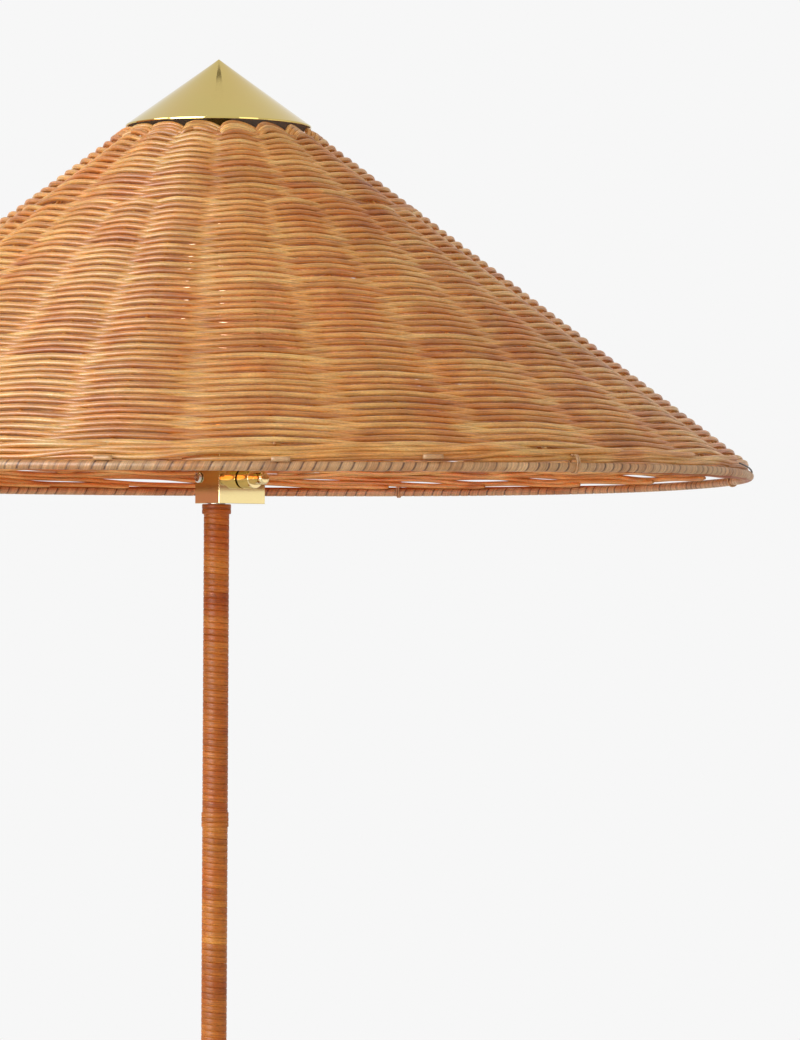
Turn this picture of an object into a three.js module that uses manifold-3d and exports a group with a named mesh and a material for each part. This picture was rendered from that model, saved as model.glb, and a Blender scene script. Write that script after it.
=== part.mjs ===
// Rattan floor lamp: a round foot, a cane-wrapped stem, a brass switch housing, a harp with its
// bulb inside, and a woven cone shade under a brass cone cap.
// Lengths are millimetres and +Z is up. The origin is on the floor, on the stem's axis.

import * as THREE from "three";
import { mergeVertices } from "three/addons/utils/BufferGeometryUtils.js";
import Module from "manifold-3d";

const wasm = await Module();
wasm.setup();

// Driving dimensions of the whole lamp
const lampHeight = 1530;
const rimDiameter = 600;
const capDiameter = 104.2;
const capHeight = 38.6;
const shadeDrop = 196.4; // from the cap's edge down to the middle of the rim
const housingDrop = 14.3; // from the middle of the rim down to the housing's underside
const headTurnDegrees = 40; // the housing and harp are turned this far round the stem
const gap = 0.3; // clearance between pieces that touch
const cutOverrun = 2; // how far a cutter stands out of what it cuts

// Sides of the round pieces
const rimSides = 48;
const footSides = 36;
const capSides = 40;
const bulbSides = 24;
const turnedSides = 20;
const caneSides = 14;
const wireSides = 8;

// Shapes that several pieces use

const point = (radius, height) => new THREE.Vector2(radius, height);

// A turned piece: its half outline goes round the Z axis
function turned(outline, sides) {
  const points = outline.map((p) => p.clone());
  if (THREE.ShapeUtils.area(points) < 0) points.reverse();
  const onAxis = points[0].x === 0 && points.at(-1).x === 0;
  if (!onAxis) points.push(points[0].clone());
  return new THREE.LatheGeometry(points, sides).rotateX(Math.PI / 2);
}

const sleeve = (outer, bore, low, high, sides) =>
  turned([point(bore, low), point(outer, low), point(outer, high), point(bore, high)], sides);

const rod = (radius, low, high, sides) =>
  turned([point(0, low), point(radius, low), point(radius, high), point(0, high)], sides);

// The points of an arc, from one angle to another, both ends included
function arcPoints(centre, radius, from, to, steps) {
  return Array.from({ length: steps + 1 }, (_, i) => {
    const angle = from + ((to - from) * i) / steps;
    return point(centre.x + radius * Math.cos(angle), centre.y + radius * Math.sin(angle));
  });
}

function roundSection(radius, sides) {
  return new THREE.Shape(arcPoints(point(0, 0), radius, 0, Math.PI * 2, sides).slice(0, -1));
}

// A block from its lowest and highest corners
function block(low, high) {
  const size = high.map((value, i) => value - low[i]);
  const middle = high.map((value, i) => (value + low[i]) / 2);
  return new THREE.BoxGeometry(...size).translate(...middle);
}

// A flat outline in the XY plane, raised from one height to another
function plate(shape, low, high) {
  return new THREE.ExtrudeGeometry(shape, { depth: high - low, bevelEnabled: false }).translate(0, 0, low);
}

// Cutting and joining
function toSolid(geometry) {
  const bare = geometry.clone();
  bare.deleteAttribute("normal");
  bare.deleteAttribute("uv");
  const merged = mergeVertices(bare.index ? bare.toNonIndexed() : bare, gap / 1000);
  const vertProperties = new Float32Array(merged.attributes.position.array);
  const triVerts = new Uint32Array(merged.index.array);
  const kept = [];
  for (let i = 0; i < triVerts.length; i += 3) {
    const [a, b, c] = triVerts.subarray(i, i + 3);
    if (a !== b && b !== c && a !== c) kept.push(a, b, c);
  }
  return new wasm.Manifold(
    new wasm.Mesh({ numProp: 3, vertProperties, triVerts: new Uint32Array(kept) })
  );
}

function fromSolid(solid) {
  const mesh = solid.getMesh();
  const geometry = new THREE.BufferGeometry();
  geometry.setAttribute("position", new THREE.BufferAttribute(mesh.vertProperties, 3));
  geometry.setIndex(new THREE.BufferAttribute(mesh.triVerts, 1));
  return geometry;
}

const cut = (body, ...tools) =>
  fromSolid(tools.reduce((solid, tool) => solid.subtract(toSolid(tool)), toSolid(body)));

const joined = (...pieces) =>
  fromSolid(pieces.map(toSolid).reduce((solid, next) => solid.add(next)));

// Finishes
const finish = (color, roughness, metalness) => () =>
  new THREE.MeshStandardMaterial({ color, roughness, metalness });
const polishedBrass = finish("#c9b26a", 0.12, 1);
const steel = finish("#b9b7b2", 0.35, 1);
const castIron = finish("#3c3b3a", 0.75, 0.6);
const felt = finish("#2f2d2b", 0.95, 0);
const blackRubber = finish("#1f1e1d", 0.7, 0);
const wrappedCane = finish("#b8763f", 0.5, 0);
const wovenRattan = finish("#c58f52", 0.55, 0);
const rimCane = finish("#a8865c", 0.55, 0);
const moulded = finish("#241f1c", 0.4, 0);
const ceramic = finish("#e8e4da", 0.3, 0);
const opalGlass = finish("#f6f2e8", 0.2, 0);

const lamp = new THREE.Group();
const head = new THREE.Group();
head.rotation.z = THREE.MathUtils.degToRad(headTurnDegrees);
lamp.add(head);
const harpGroup = new THREE.Group(); // the harp stands across the housing
harpGroup.rotation.z = Math.PI / 2;
head.add(harpGroup);

function add(name, geometry, material, parent = lamp) {
  const mesh = new THREE.Mesh(geometry, material());
  mesh.name = name;
  parent.add(mesh);
  return mesh;
}

// Heights that pieces share
const capBaseZ = lampHeight - capHeight;
const rimCentreZ = capBaseZ - shadeDrop;
const housingBottom = rimCentreZ - housingDrop;

// Stem tube
const stemTubeRadius = 5;
const stemTubeWall = 1;
const stemHole = stemTubeRadius + gap;
const stemSeat = 5.7; // how far the tube screws into the housing
const stemFootLift = 3.5; // the tube's lower end, above the floor

add(
  "stem_tube",
  sleeve(
    stemTubeRadius,
    stemTubeRadius - stemTubeWall,
    stemFootLift,
    housingBottom + stemSeat,
    turnedSides
  ),
  steel
);

// Foot: felt pad, iron weight, spun brass cover, with the washer and nut that pull them together
const footRadius = 140;
const footHeight = 22;
const coverWall = 1.2;
const coverShoulder = 5;
const coverSkirtLift = 1.2;
const feltThickness = 2;
const feltInset = 6; // the felt's edge, inside the foot's
const feltHole = 20;
const weightChamfer = 5;
const recessRadius = 18;
const recessTop = 12;
const channelWidth = 11;
const shoulderSteps = 3;

const feltRadius = footRadius - feltInset;
const weightRadius = footRadius - coverWall - gap;
const weightBottom = feltThickness + gap;
const weightTop = footHeight - coverWall - gap;

add("base_felt_pad", sleeve(feltRadius, feltHole, 0, feltThickness, footSides), felt);

const weightBlank = turned(
  [
    point(stemHole, recessTop),
    point(recessRadius, recessTop),
    point(recessRadius, weightBottom),
    point(weightRadius, weightBottom),
    point(weightRadius, weightTop - weightChamfer),
    point(weightRadius - weightChamfer, weightTop),
    point(stemHole, weightTop),
  ],
  footSides
);
const cordChannel = block(
  [-channelWidth / 2, 0, -cutOverrun],
  [channelWidth / 2, footRadius + cutOverrun, recessTop]
);
add("base_weight", cut(weightBlank, cordChannel), castIron);

const inletHeight = 7; // the cord inlet's middle, above the floor
const inletNeck = 3.5;
const inletBore = 2.5;
const inletFlange = 5.2;
const inletFlangeThickness = 1.5;
const inletLip = 4.2;

const shoulderCentre = point(footRadius - coverShoulder, footHeight - coverShoulder);
const coverBlank = turned(
  [
    point(stemHole, footHeight - coverWall),
    ...arcPoints(shoulderCentre, coverShoulder - coverWall, Math.PI / 2, 0, shoulderSteps),
    point(footRadius - coverWall, coverSkirtLift),
    point(footRadius, coverSkirtLift),
    ...arcPoints(shoulderCentre, coverShoulder, 0, Math.PI / 2, shoulderSteps),
    point(stemHole, footHeight),
  ],
  footSides
);
const inletHole = rod(inletNeck + gap, 0, footRadius + cutOverrun, caneSides)
  .rotateX(-Math.PI / 2)
  .translate(0, 0, inletHeight);
add("base_cover", cut(coverBlank, inletHole), polishedBrass);

// The inlet bushing snaps into the cover's skirt: a neck between an outer flange and an inner lip
const skirtFall = inletLip * Math.tan(Math.PI / footSides); // the curved wall falls back this far
const inletStart = footRadius - coverWall - gap - skirtFall - inletFlangeThickness;
const inletOutline = [
  point(inletBore, inletStart),
  point(inletLip, inletStart),
  point(inletLip, inletStart + inletFlangeThickness),
  point(inletNeck, inletStart + inletFlangeThickness),
  point(inletNeck, footRadius + gap),
  point(inletFlange, footRadius + gap),
  point(inletFlange, footRadius + gap + inletFlangeThickness),
  point(inletBore, footRadius + gap + inletFlangeThickness),
];
const inlet = add("base_cord_inlet", turned(inletOutline, caneSides), blackRubber);
inlet.rotation.x = -Math.PI / 2;
inlet.position.z = inletHeight;

const washerRadius = 15;
const washerThickness = 2;
const nutAcrossFlats = 17;
const nutHeight = 5;
const washerTop = recessTop - gap;
const nutTop = washerTop - washerThickness - gap;
const hexSides = 6;
const hexShape = (acrossFlats, hole) => {
  const shape = roundSection(acrossFlats / 2 / Math.cos(Math.PI / hexSides), hexSides);
  shape.holes.push(new THREE.Path(arcPoints(point(0, 0), hole, 0, Math.PI * 2, caneSides)));
  return shape;
};
add(
  "base_washer",
  sleeve(washerRadius, stemHole, washerTop - washerThickness, washerTop, turnedSides),
  steel
);
add("base_nut", plate(hexShape(nutAcrossFlats, stemHole), nutTop - nutHeight, nutTop), steel);

const collarFlange = 18;
const collarFlangeThickness = 3;
const collarNeck = 9;
const collarSweep = 6;
const collarHeight = 22;
const collarSteps = 3;
const collarBottom = footHeight + gap;
const collarTop = collarBottom + collarHeight;
const sweepCentre = point(collarNeck + collarSweep, collarBottom + collarFlangeThickness + collarSweep);
add(
  "base_collar",
  turned(
    [
      point(stemHole, collarBottom),
      point(collarFlange, collarBottom),
      point(collarFlange, collarBottom + collarFlangeThickness),
      ...arcPoints(sweepCentre, collarSweep, -Math.PI / 2, -Math.PI, collarSteps),
      point(collarNeck, collarTop),
      point(stemHole, collarTop),
    ],
    turnedSides
  ),
  polishedBrass
);

// Cane wrapping: equal lengths of split cane, each wound round the tube, with a doubled splice
// band between one length and the next and a thicker band under the housing
const caneThickness = 1.85;
const wrapSections = 7;
const spliceHeight = 8.4;
const spliceExtra = 0.45;
const topBandHeight = 5.6;
const topBandExtra = 1;
const turnPitch = 3.45;
const turnWidth = 2.9;
const shownTurns = 16;
const stepsPerTurn = 24;

const wrapRadius = stemHole + caneThickness;
const wrapBottom = collarTop + gap;
const wrapTop = housingBottom - gap;
const sectionLength = (wrapTop - wrapBottom) / wrapSections;
const topBandLow = wrapTop - topBandHeight;
const turnsHigh = topBandLow - gap;
const turnsLow = turnsHigh - shownTurns * turnPitch - turnWidth;

for (let i = 0; i < wrapSections; i += 1) {
  const sectionLow = wrapBottom + i * sectionLength;
  const isLowest = i === 0;
  const isHighest = i === wrapSections - 1;
  const low = isLowest ? sectionLow : sectionLow + spliceHeight / 2 + gap;
  const high = isHighest ? turnsLow - gap : sectionLow + sectionLength - spliceHeight / 2 - gap;
  add("stem_wrap_" + (i + 1), sleeve(wrapRadius, stemHole, low, high, caneSides), wrappedCane);
  if (isLowest) continue;
  const bandLow = sectionLow - spliceHeight / 2;
  const band = sleeve(wrapRadius + spliceExtra, stemHole, bandLow, bandLow + spliceHeight, caneSides);
  add("stem_splice_" + i, band, wrappedCane);
}
add(
  "stem_top_band",
  sleeve(wrapRadius + topBandExtra, stemHole, topBandLow, wrapTop, caneSides),
  wrappedCane
);

// The topmost turns of the wrapping, as one unbroken strand with a rounded outer face
const strandBackShare = 0.8; // how much of its width a strand lies flat on the tube with
const strandShoulderShare = 0.62; // where its face begins to round over, across and outwards

function strandSection() {
  const half = turnWidth / 2;
  const back = half * strandBackShare;
  const shoulder = half * strandShoulderShare;
  const shoulderOut = caneThickness * strandShoulderShare;
  return [
    [0, -back],
    [0, back],
    [shoulderOut, half],
    [caneThickness, shoulder / 2],
    [caneThickness, -shoulder / 2],
    [shoulderOut, -half],
  ];
}

function windingRings() {
  const rings = [];
  const section = strandSection();
  const total = shownTurns * stepsPerTurn;
  const firstZ = turnsLow + turnWidth / 2;
  const ringAt = (step, lead) => {
    const angle = (step / stepsPerTurn) * Math.PI * 2;
    const outward = new THREE.Vector3(Math.cos(angle), Math.sin(angle), 0);
    const along = new THREE.Vector3(-outward.y, outward.x, 0);
    const z = firstZ + (step / stepsPerTurn) * turnPitch;
    return section.map(([out, up]) =>
      outward
        .clone()
        .multiplyScalar(stemHole + out)
        .addScaledVector(along, lead)
        .setZ(z + up)
    );
  };
  rings.push(ringAt(0, -turnWidth));
  for (let step = 0; step <= total; step += 1) rings.push(ringAt(step, 0));
  rings.push(ringAt(total, turnWidth));
  return rings;
}

// Joins rings of points into one closed strand
function skinned(rings) {
  const sides = rings[0].length;
  const positions = rings.flat().flatMap((p) => [p.x, p.y, p.z]);
  const faces = [];
  for (let r = 0; r + 1 < rings.length; r += 1) {
    for (let s = 0; s < sides; s += 1) {
      const a = r * sides + s;
      const b = r * sides + ((s + 1) % sides);
      faces.push(a, b, a + sides, b, b + sides, a + sides);
    }
  }
  const last = (rings.length - 1) * sides;
  for (let s = 1; s + 1 < sides; s += 1) {
    faces.push(0, s + 1, s);
    faces.push(last, last + s, last + s + 1);
  }
  const geometry = new THREE.BufferGeometry();
  geometry.setAttribute("position", new THREE.Float32BufferAttribute(positions, 3));
  geometry.setIndex(faces);
  return geometry;
}

// The least distance between points of neighbouring turns
function leastGap(rings) {
  let least = Infinity;
  const apart = stepsPerTurn / 2;
  for (let i = 0; i < rings.length; i += 1) {
    for (let j = i + apart; j < Math.min(rings.length, i + 3 * apart); j += 1) {
      for (const p of rings[i]) {
        for (const q of rings[j]) least = Math.min(least, p.distanceTo(q));
      }
    }
  }
  return least;
}

const turnRings = windingRings();
console.log("least gap between turns, mm:", leastGap(turnRings).toFixed(3));
add("stem_wrap_top_turns", skinned(turnRings), wrappedCane);

// Switch housing: a brass block, hollowed from above and closed by a lid, off centre on the stem
const housingLength = 33.7;
const housingWidth = 21;
const housingHeight = 28;
const housingEndToStem = 7;
const housingWall = 1.8;
const housingFloor = 6.4;
const lidThickness = 4;
const housingLeft = -housingEndToStem;
const housingRight = housingLeft + housingLength;
const housingFront = -housingWidth / 2;
const housingBack = housingWidth / 2;
const lidTop = housingBottom + housingHeight;
const lidBottom = lidTop - lidThickness;
const housingTop = lidBottom - gap;
const hollowBottom = housingBottom + housingFloor;

const housingBlank = block(
  [housingLeft, housingFront, housingBottom],
  [housingRight, housingBack, housingTop]
);
const hollow = block(
  [housingLeft + housingWall, housingFront + housingWall, hollowBottom],
  [housingRight - housingWall, housingBack - housingWall, housingTop + cutOverrun]
);
const stemBore = rod(stemHole, housingBottom - cutOverrun, hollowBottom + cutOverrun, turnedSides);

// Rotary switch: its body inside, its neck through the long face, a ring nut and the knob outside
const knobAlong = 10.6; // from the stem's axis, along the housing
const knobHeight = 14; // above the housing's underside
const switchWidth = 15;
const switchDepth = 12;
const switchTall = 13;
const neckRadius = 3.2;
const neckProud = 2;
const shaftRadius = 1.8;
const shaftLength = 12;
const shaftInSwitch = 4;
const ringNutRadius = 4.5;
const ringNutThickness = 1.4;
const knobZ = housingBottom + knobHeight;
const switchFace = housingFront + housingWall + gap;

// A piece turned about the knob's axis: its own heights count outwards from the long face
const onKnobAxis = (geometry) =>
  geometry.rotateX(Math.PI / 2).translate(knobAlong, housingFront, knobZ);

const neckEnd = neckProud;
const neckStart = -housingWall - gap;
const neckHole = onKnobAxis(
  rod(neckRadius + gap, neckStart - cutOverrun, cutOverrun, caneSides)
);

// The round-headed screw on the housing's end face
const endScrewAcross = 7;
const endScrewHeight = 14.6;
const endScrewHead = 3.1;
const endScrewProud = 1.7;
const endScrewShank = 1.5;
const endScrewLength = 6;
const endScrewSlot = 0.9;
const endScrewSlotDepth = 0.7;
const onEndScrewAxis = (geometry) =>
  geometry
    .rotateY(-Math.PI / 2)
    .translate(housingLeft, endScrewAcross, housingBottom + endScrewHeight);
const endScrewHole = onEndScrewAxis(
  rod(endScrewShank + gap, -housingWall - cutOverrun, cutOverrun, caneSides)
);

// Lid and its two screws
const lidScrewAcross = 6;
const lidScrewFromEnd = 4.6;
const lidScrewShank = 1.2;
const lidScrewHead = 2.4;
const lidScrewHeadHeight = 1.3;
const lidScrewBite = 9;
const lidScrewBoss = 2.8;
const nippleRadius = 5;
const nippleBore = 3.5;
const nippleHole = nippleRadius + gap;
const lidScrewX = housingRight - lidScrewFromEnd;
const lidScrewPlaces = [-lidScrewAcross, lidScrewAcross];

const screwBosses = lidScrewPlaces.map((y) =>
  rod(lidScrewBoss, hollowBottom - gap, housingTop, caneSides).translate(lidScrewX, y, 0)
);
const screwBossHoles = lidScrewPlaces.map((y) =>
  rod(lidScrewShank + gap, lidBottom - lidScrewBite - gap, lidTop, caneSides).translate(lidScrewX, y, 0)
);
const hollowed = cut(housingBlank, hollow);
add(
  "switch_housing",
  cut(joined(hollowed, ...screwBosses), stemBore, neckHole, endScrewHole, ...screwBossHoles),
  polishedBrass,
  head
);

const lidHoles = lidScrewPlaces.map((y) =>
  rod(lidScrewShank + gap, lidBottom - cutOverrun, lidTop + cutOverrun, caneSides).translate(lidScrewX, y, 0)
);
const lidBlank = block(
  [housingLeft, housingFront, lidBottom],
  [housingRight, housingBack, lidTop]
);
const nippleCut = rod(nippleHole, lidBottom - cutOverrun, lidTop + cutOverrun, turnedSides);
add("housing_lid", cut(lidBlank, nippleCut, ...lidHoles), polishedBrass, head);

lidScrewPlaces.forEach((y, i) => {
  const headLow = lidTop + gap;
  const outline = [
    point(0, lidBottom - lidScrewBite),
    point(lidScrewShank, lidBottom - lidScrewBite),
    point(lidScrewShank, headLow),
    point(lidScrewHead, headLow),
    point(lidScrewHead, headLow + lidScrewHeadHeight / 2),
    point(lidScrewShank, headLow + lidScrewHeadHeight),
    point(0, headLow + lidScrewHeadHeight),
  ];
  const screw = add("lid_screw_" + (i + 1), turned(outline, caneSides), steel, head);
  screw.position.set(lidScrewX, y, 0);
});

const endScrewBlank = turned(
  [
    point(0, -endScrewLength),
    point(endScrewShank, -endScrewLength),
    point(endScrewShank, gap),
    point(endScrewHead, gap),
    point(endScrewHead, endScrewProud / 2),
    point((endScrewHead + endScrewShank) / 2, endScrewProud),
    point(0, endScrewProud),
  ],
  caneSides
);
const slotFloor = endScrewProud - endScrewSlotDepth;
const slotReach = (endScrewHead + endScrewSlot) / 2;
const crossSlots = [0, Math.PI / 2].map((turn) =>
  block(
    [-slotReach, -endScrewSlot / 2, slotFloor],
    [slotReach, endScrewSlot / 2, endScrewProud + cutOverrun]
  ).rotateZ(turn)
);
add("housing_end_screw", onEndScrewAxis(cut(endScrewBlank, ...crossSlots)), steel, head);

const switchBlock = block(
  [knobAlong - switchWidth / 2, switchFace, knobZ - switchTall / 2],
  [knobAlong + switchWidth / 2, switchFace + switchDepth, knobZ + switchTall / 2]
);
const switchNeck = onKnobAxis(rod(neckRadius, neckStart - cutOverrun, neckEnd, caneSides));
const switchBore = onKnobAxis(
  rod(shaftRadius + gap, neckStart - shaftInSwitch - gap, neckEnd + cutOverrun, caneSides)
);
add("switch_body", cut(joined(switchBlock, switchNeck), switchBore), moulded, head);

add(
  "switch_ring_nut",
  onKnobAxis(sleeve(ringNutRadius, neckRadius + gap, gap, gap + ringNutThickness, caneSides)),
  steel,
  head
);

const shaftStart = neckStart - shaftInSwitch;
const shaftEnd = shaftStart + shaftLength;
add("switch_shaft", onKnobAxis(rod(shaftRadius, shaftStart, shaftEnd, caneSides)), steel, head);

// Knob: a wide grip, a thinner neck, a groove and a rounded end
const knobGap = 0.8;
const knobGripRadius = 5.6;
const knobGripLength = 9.6;
const knobNeckRadius = 3.5;
const knobNeckLength = 5.3;
const knobGrooveDepth = 0.6;
const knobGrooveWidth = 0.6;
const knobEndLength = 2.6;
const knobChamfer = 0.4;
const knobEndSteps = 3;

const gripEnd = knobGap + knobGripLength;
const knobNeckEnd = gripEnd + knobNeckLength;
const knobDiscStart = knobNeckEnd + knobGrooveWidth;
const knobDiscEnd = knobDiscStart + knobEndLength;
const knobRound = knobEndLength / 2;
const knobRoundCentre = point(knobNeckRadius - knobRound, knobDiscEnd - knobRound);
const knobRecess = Math.max(neckEnd, gap + ringNutThickness) + gap;
add(
  "switch_knob",
  onKnobAxis(
    turned(
      [
        point(0, shaftEnd + gap),
        point(shaftRadius + gap, shaftEnd + gap),
        point(shaftRadius + gap, knobRecess),
        point(ringNutRadius + gap, knobRecess),
        point(ringNutRadius + gap, knobGap),
        point(knobGripRadius, knobGap),
        point(knobGripRadius, gripEnd - knobChamfer),
        point(knobGripRadius - knobChamfer, gripEnd),
        point(knobNeckRadius, gripEnd),
        point(knobNeckRadius, knobNeckEnd),
        point(knobNeckRadius - knobGrooveDepth, knobNeckEnd),
        point(knobNeckRadius - knobGrooveDepth, knobDiscStart),
        point(knobNeckRadius, knobDiscStart),
        ...arcPoints(knobRoundCentre, knobRound, 0, Math.PI / 2, knobEndSteps),
        point(0, knobDiscEnd),
      ],
      turnedSides
    )
  ),
  polishedBrass,
  head
);

// Harp saddle, under the lamp holder
const saddleThickness = 1.6;
const saddleWidth = 12;
const harpFoot = 26; // each leg's distance from the axis at its foot
const harpWire = 2.2;
const saddlePinHeight = 7;
const saddleBottom = lidTop + gap;
const saddleTop = saddleBottom + saddleThickness;
const saddleEnd = harpFoot + saddleWidth / 2;
const saddleStrip = block(
  [-saddleEnd, -saddleWidth / 2, saddleBottom],
  [saddleEnd, saddleWidth / 2, saddleTop]
);
const saddlePins = [-harpFoot, harpFoot].map((x) =>
  rod(harpWire, saddleBottom, saddleTop + saddlePinHeight, caneSides).translate(x, 0, 0)
);
const saddleHole = rod(nippleHole, saddleBottom - cutOverrun, saddleTop + cutOverrun, turnedSides);
add("harp_saddle", cut(joined(saddleStrip, ...saddlePins), saddleHole), polishedBrass, harpGroup);

// Lamp holder: nipple, cup, insulator, outer shell, screw shell and centre contact
const nippleIntoCup = 7;
const cupRadius = 19;
const cupHeight = 12;
const cupWall = 1.2;
const cupFloor = 1.6;
const cupChamfer = 5;
const insulatorHeight = 12;
const insulatorClearance = 0.5;
const contactRadius = 4;
const contactThickness = 1;
const contactPin = 1.5;
const contactPinDepth = 5;
const holderShellHeight = 34;
const screwShellBore = 13.5;
const screwShellWall = 0.5;
const screwShellFoot = 7;
const screwShellSetback = 4;

const cupBottom = saddleTop + gap;
const cupTop = cupBottom + cupHeight;
const nippleTop = cupBottom + nippleIntoCup;
const insulatorBottom = nippleTop + gap;
const insulatorTop = insulatorBottom + insulatorHeight;
const insulatorRadius = cupRadius - cupWall - insulatorClearance;
const holderShellBottom = cupTop + gap;
const holderTop = holderShellBottom + holderShellHeight;

add("holder_nipple", sleeve(nippleRadius, nippleBore, lidBottom, nippleTop, turnedSides), steel, head);
add(
  "holder_cup",
  turned(
    [
      point(nippleHole, cupBottom),
      point(cupRadius - cupChamfer, cupBottom),
      point(cupRadius, cupBottom + cupChamfer),
      point(cupRadius, cupTop),
      point(cupRadius - cupWall, cupTop),
      point(cupRadius - cupWall, cupBottom + cupChamfer + cupFloor / 2),
      point(cupRadius - cupChamfer - cupWall / 2, cupBottom + cupFloor),
      point(nippleHole, cupBottom + cupFloor),
    ],
    turnedSides
  ),
  polishedBrass,
  head
);
add(
  "holder_insulator",
  sleeve(insulatorRadius, contactPin + gap, insulatorBottom, insulatorTop, turnedSides),
  ceramic,
  head
);
add(
  "holder_shell",
  sleeve(cupRadius, cupRadius - cupWall, holderShellBottom, holderTop, turnedSides),
  polishedBrass,
  head
);
const screwShellRadius = screwShellBore + screwShellWall;
const screwShellBottom = insulatorTop + gap;
const screwShellTop = holderTop - screwShellSetback;
add(
  "holder_screw_shell",
  turned(
    [
      point(screwShellFoot, screwShellBottom),
      point(screwShellRadius, screwShellBottom),
      point(screwShellRadius, screwShellTop),
      point(screwShellBore, screwShellTop),
      point(screwShellBore, screwShellBottom + screwShellWall),
      point(screwShellFoot, screwShellBottom + screwShellWall),
    ],
    turnedSides
  ),
  steel,
  head
);
const contactBottom = insulatorTop + gap;
const contactTop = contactBottom + contactThickness;
add(
  "holder_contact",
  turned(
    [
      point(0, insulatorTop - contactPinDepth),
      point(contactPin, insulatorTop - contactPinDepth),
      point(contactPin, contactBottom),
      point(contactRadius, contactBottom),
      point(contactRadius, contactTop),
      point(0, contactTop),
    ],
    caneSides
  ),
  polishedBrass,
  head
);

// Bulb: a screw cap and an opal glass
const bulbCapRadius = 13;
const bulbCapLength = 26;
const bulbCapWall = 0.6;
const bulbTipRadius = 3.6;
const bulbTipHeight = 2;
const bulbTaper = 3;
const bulbRadius = 30;
const bulbGlassLength = 80;
const bulbNeckRadius = 13.4;
const bulbGlassWall = 1;
const bulbNeckShare = 0.3;
const bulbDomeSteps = 6;
const bulbDomeFrom = -Math.PI / 6; // where the dome leaves the neck, seen from its centre

const bulbBottom = contactTop + gap;
const bulbCapTop = bulbBottom + bulbCapLength;
add(
  "bulb_cap",
  turned(
    [
      point(0, bulbBottom),
      point(bulbTipRadius, bulbBottom),
      point(bulbTipRadius, bulbBottom + bulbTipHeight),
      point(bulbCapRadius, bulbBottom + bulbTipHeight + bulbTaper),
      point(bulbCapRadius, bulbCapTop),
      point(bulbCapRadius - bulbCapWall, bulbCapTop),
      point(bulbCapRadius - bulbCapWall, bulbBottom + bulbTipHeight + bulbTaper + bulbCapWall),
      point(0, bulbBottom + bulbTipHeight + bulbTaper),
    ],
    turnedSides
  ),
  steel
);
const glassBottom = bulbCapTop + gap;
const bulbCentre = point(0, glassBottom + bulbGlassLength - bulbRadius);
const neckTopZ = glassBottom + (bulbGlassLength - bulbRadius) * bulbNeckShare;
const glassOuter = [
  point(bulbNeckRadius, glassBottom),
  point(bulbNeckRadius, neckTopZ),
  ...arcPoints(bulbCentre, bulbRadius, bulbDomeFrom, Math.PI / 2, bulbDomeSteps),
];
const glassInner = [
  point(bulbNeckRadius - bulbGlassWall, glassBottom),
  point(bulbNeckRadius - bulbGlassWall, neckTopZ),
  ...arcPoints(bulbCentre, bulbRadius - bulbGlassWall, bulbDomeFrom, Math.PI / 2, bulbDomeSteps),
];
glassOuter.at(-1).x = 0;
glassInner.at(-1).x = 0;
add("bulb_glass", turned([...glassOuter, ...glassInner.reverse()], bulbSides), opalGlass);

// Woven shade: a cone whose wall ripples. At a stake it is as thick as that stake between two
// strands. Between two stakes all strands cross its middle, so it is one strand thick there.
// Seventeen stakes leave the top. Nine more join them part way down, so twenty-six reach the rim.
const strandDiameter = 2.85;
const stakeDiameter = 3;
const weaveTopRadius = 53.5;
const weaveTopDrop = 1.1; // the weave's upper edge, below the cap's edge
const weaveFootInset = 4; // the weave's outer foot, inside the rim's outer edge
const weaveFootRise = 11.1; // the same foot, above the rim's middle
const bindingRadius = 2.45;
const rimRadius = rimDiameter / 2 - bindingRadius;
const stakesAbove = 17;
const stakesBelow = 26;
const addedStakeEvery = 3; // of the stakes below, every third is an added one
const firstStakeAboveDegrees = 9.7; // round from the front, to the viewer's right
const firstStakeBelowDegrees = 6.2;
const fanStart = 58; // down the slant: where the stakes begin to spread evenly
const fanMiddle = 88;
const fanEnd = 118;
const addedStart = 72; // where an added stake leaves its neighbour's side
const addedEnd = 138;
const sideBySide = 7.5; // two stakes nearer than this act as one
const scallopDepth = 4.5; // how far the weave's upper edge dips between two stakes
const borderRise = 5.5257; // up the slant from the weave's foot: below it the border hides the ripple
const borderBlend = 7; // the ripple fades over this length above it
const crestReach = 1 / 6; // a crest's half width, as a share of the space between two stakes
const crestShare = 0.86; // a crest's mean height over its strands, as a share of its highest point

const shadeWall = 2 * strandDiameter + stakeDiameter;
const weaveTop = point(weaveTopRadius, capBaseZ - weaveTopDrop);
const weaveFoot = point(rimDiameter / 2 - weaveFootInset, rimCentreZ + weaveFootRise);
const slant = Math.atan2(weaveTop.y - weaveFoot.y, weaveFoot.x - weaveTop.x);
const borderFull = weaveTop.distanceTo(weaveFoot) - borderRise;
const borderStart = borderFull - borderBlend;
const outwardNormal = point(Math.sin(slant), Math.cos(slant));
const downSlant = point(Math.cos(slant), -Math.sin(slant));
const inside = (p, depth) => p.clone().addScaledVector(outwardNormal, -depth);
const weaveBottomZ = rimCentreZ + bindingRadius + gap;
const swing = (strandDiameter + stakeDiameter) / 2; // how far a strand bends aside at a stake
const firstStakeAbove = THREE.MathUtils.degToRad(firstStakeAboveDegrees);
const firstStakeBelow = THREE.MathUtils.degToRad(firstStakeBelowDegrees);

// A point of the wall, this far down the slant and proud of the wall's middle
const wallPoint = (down, proud) =>
  inside(weaveTop.clone().addScaledVector(downSlant, down), shadeWall / 2 - proud);

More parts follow.
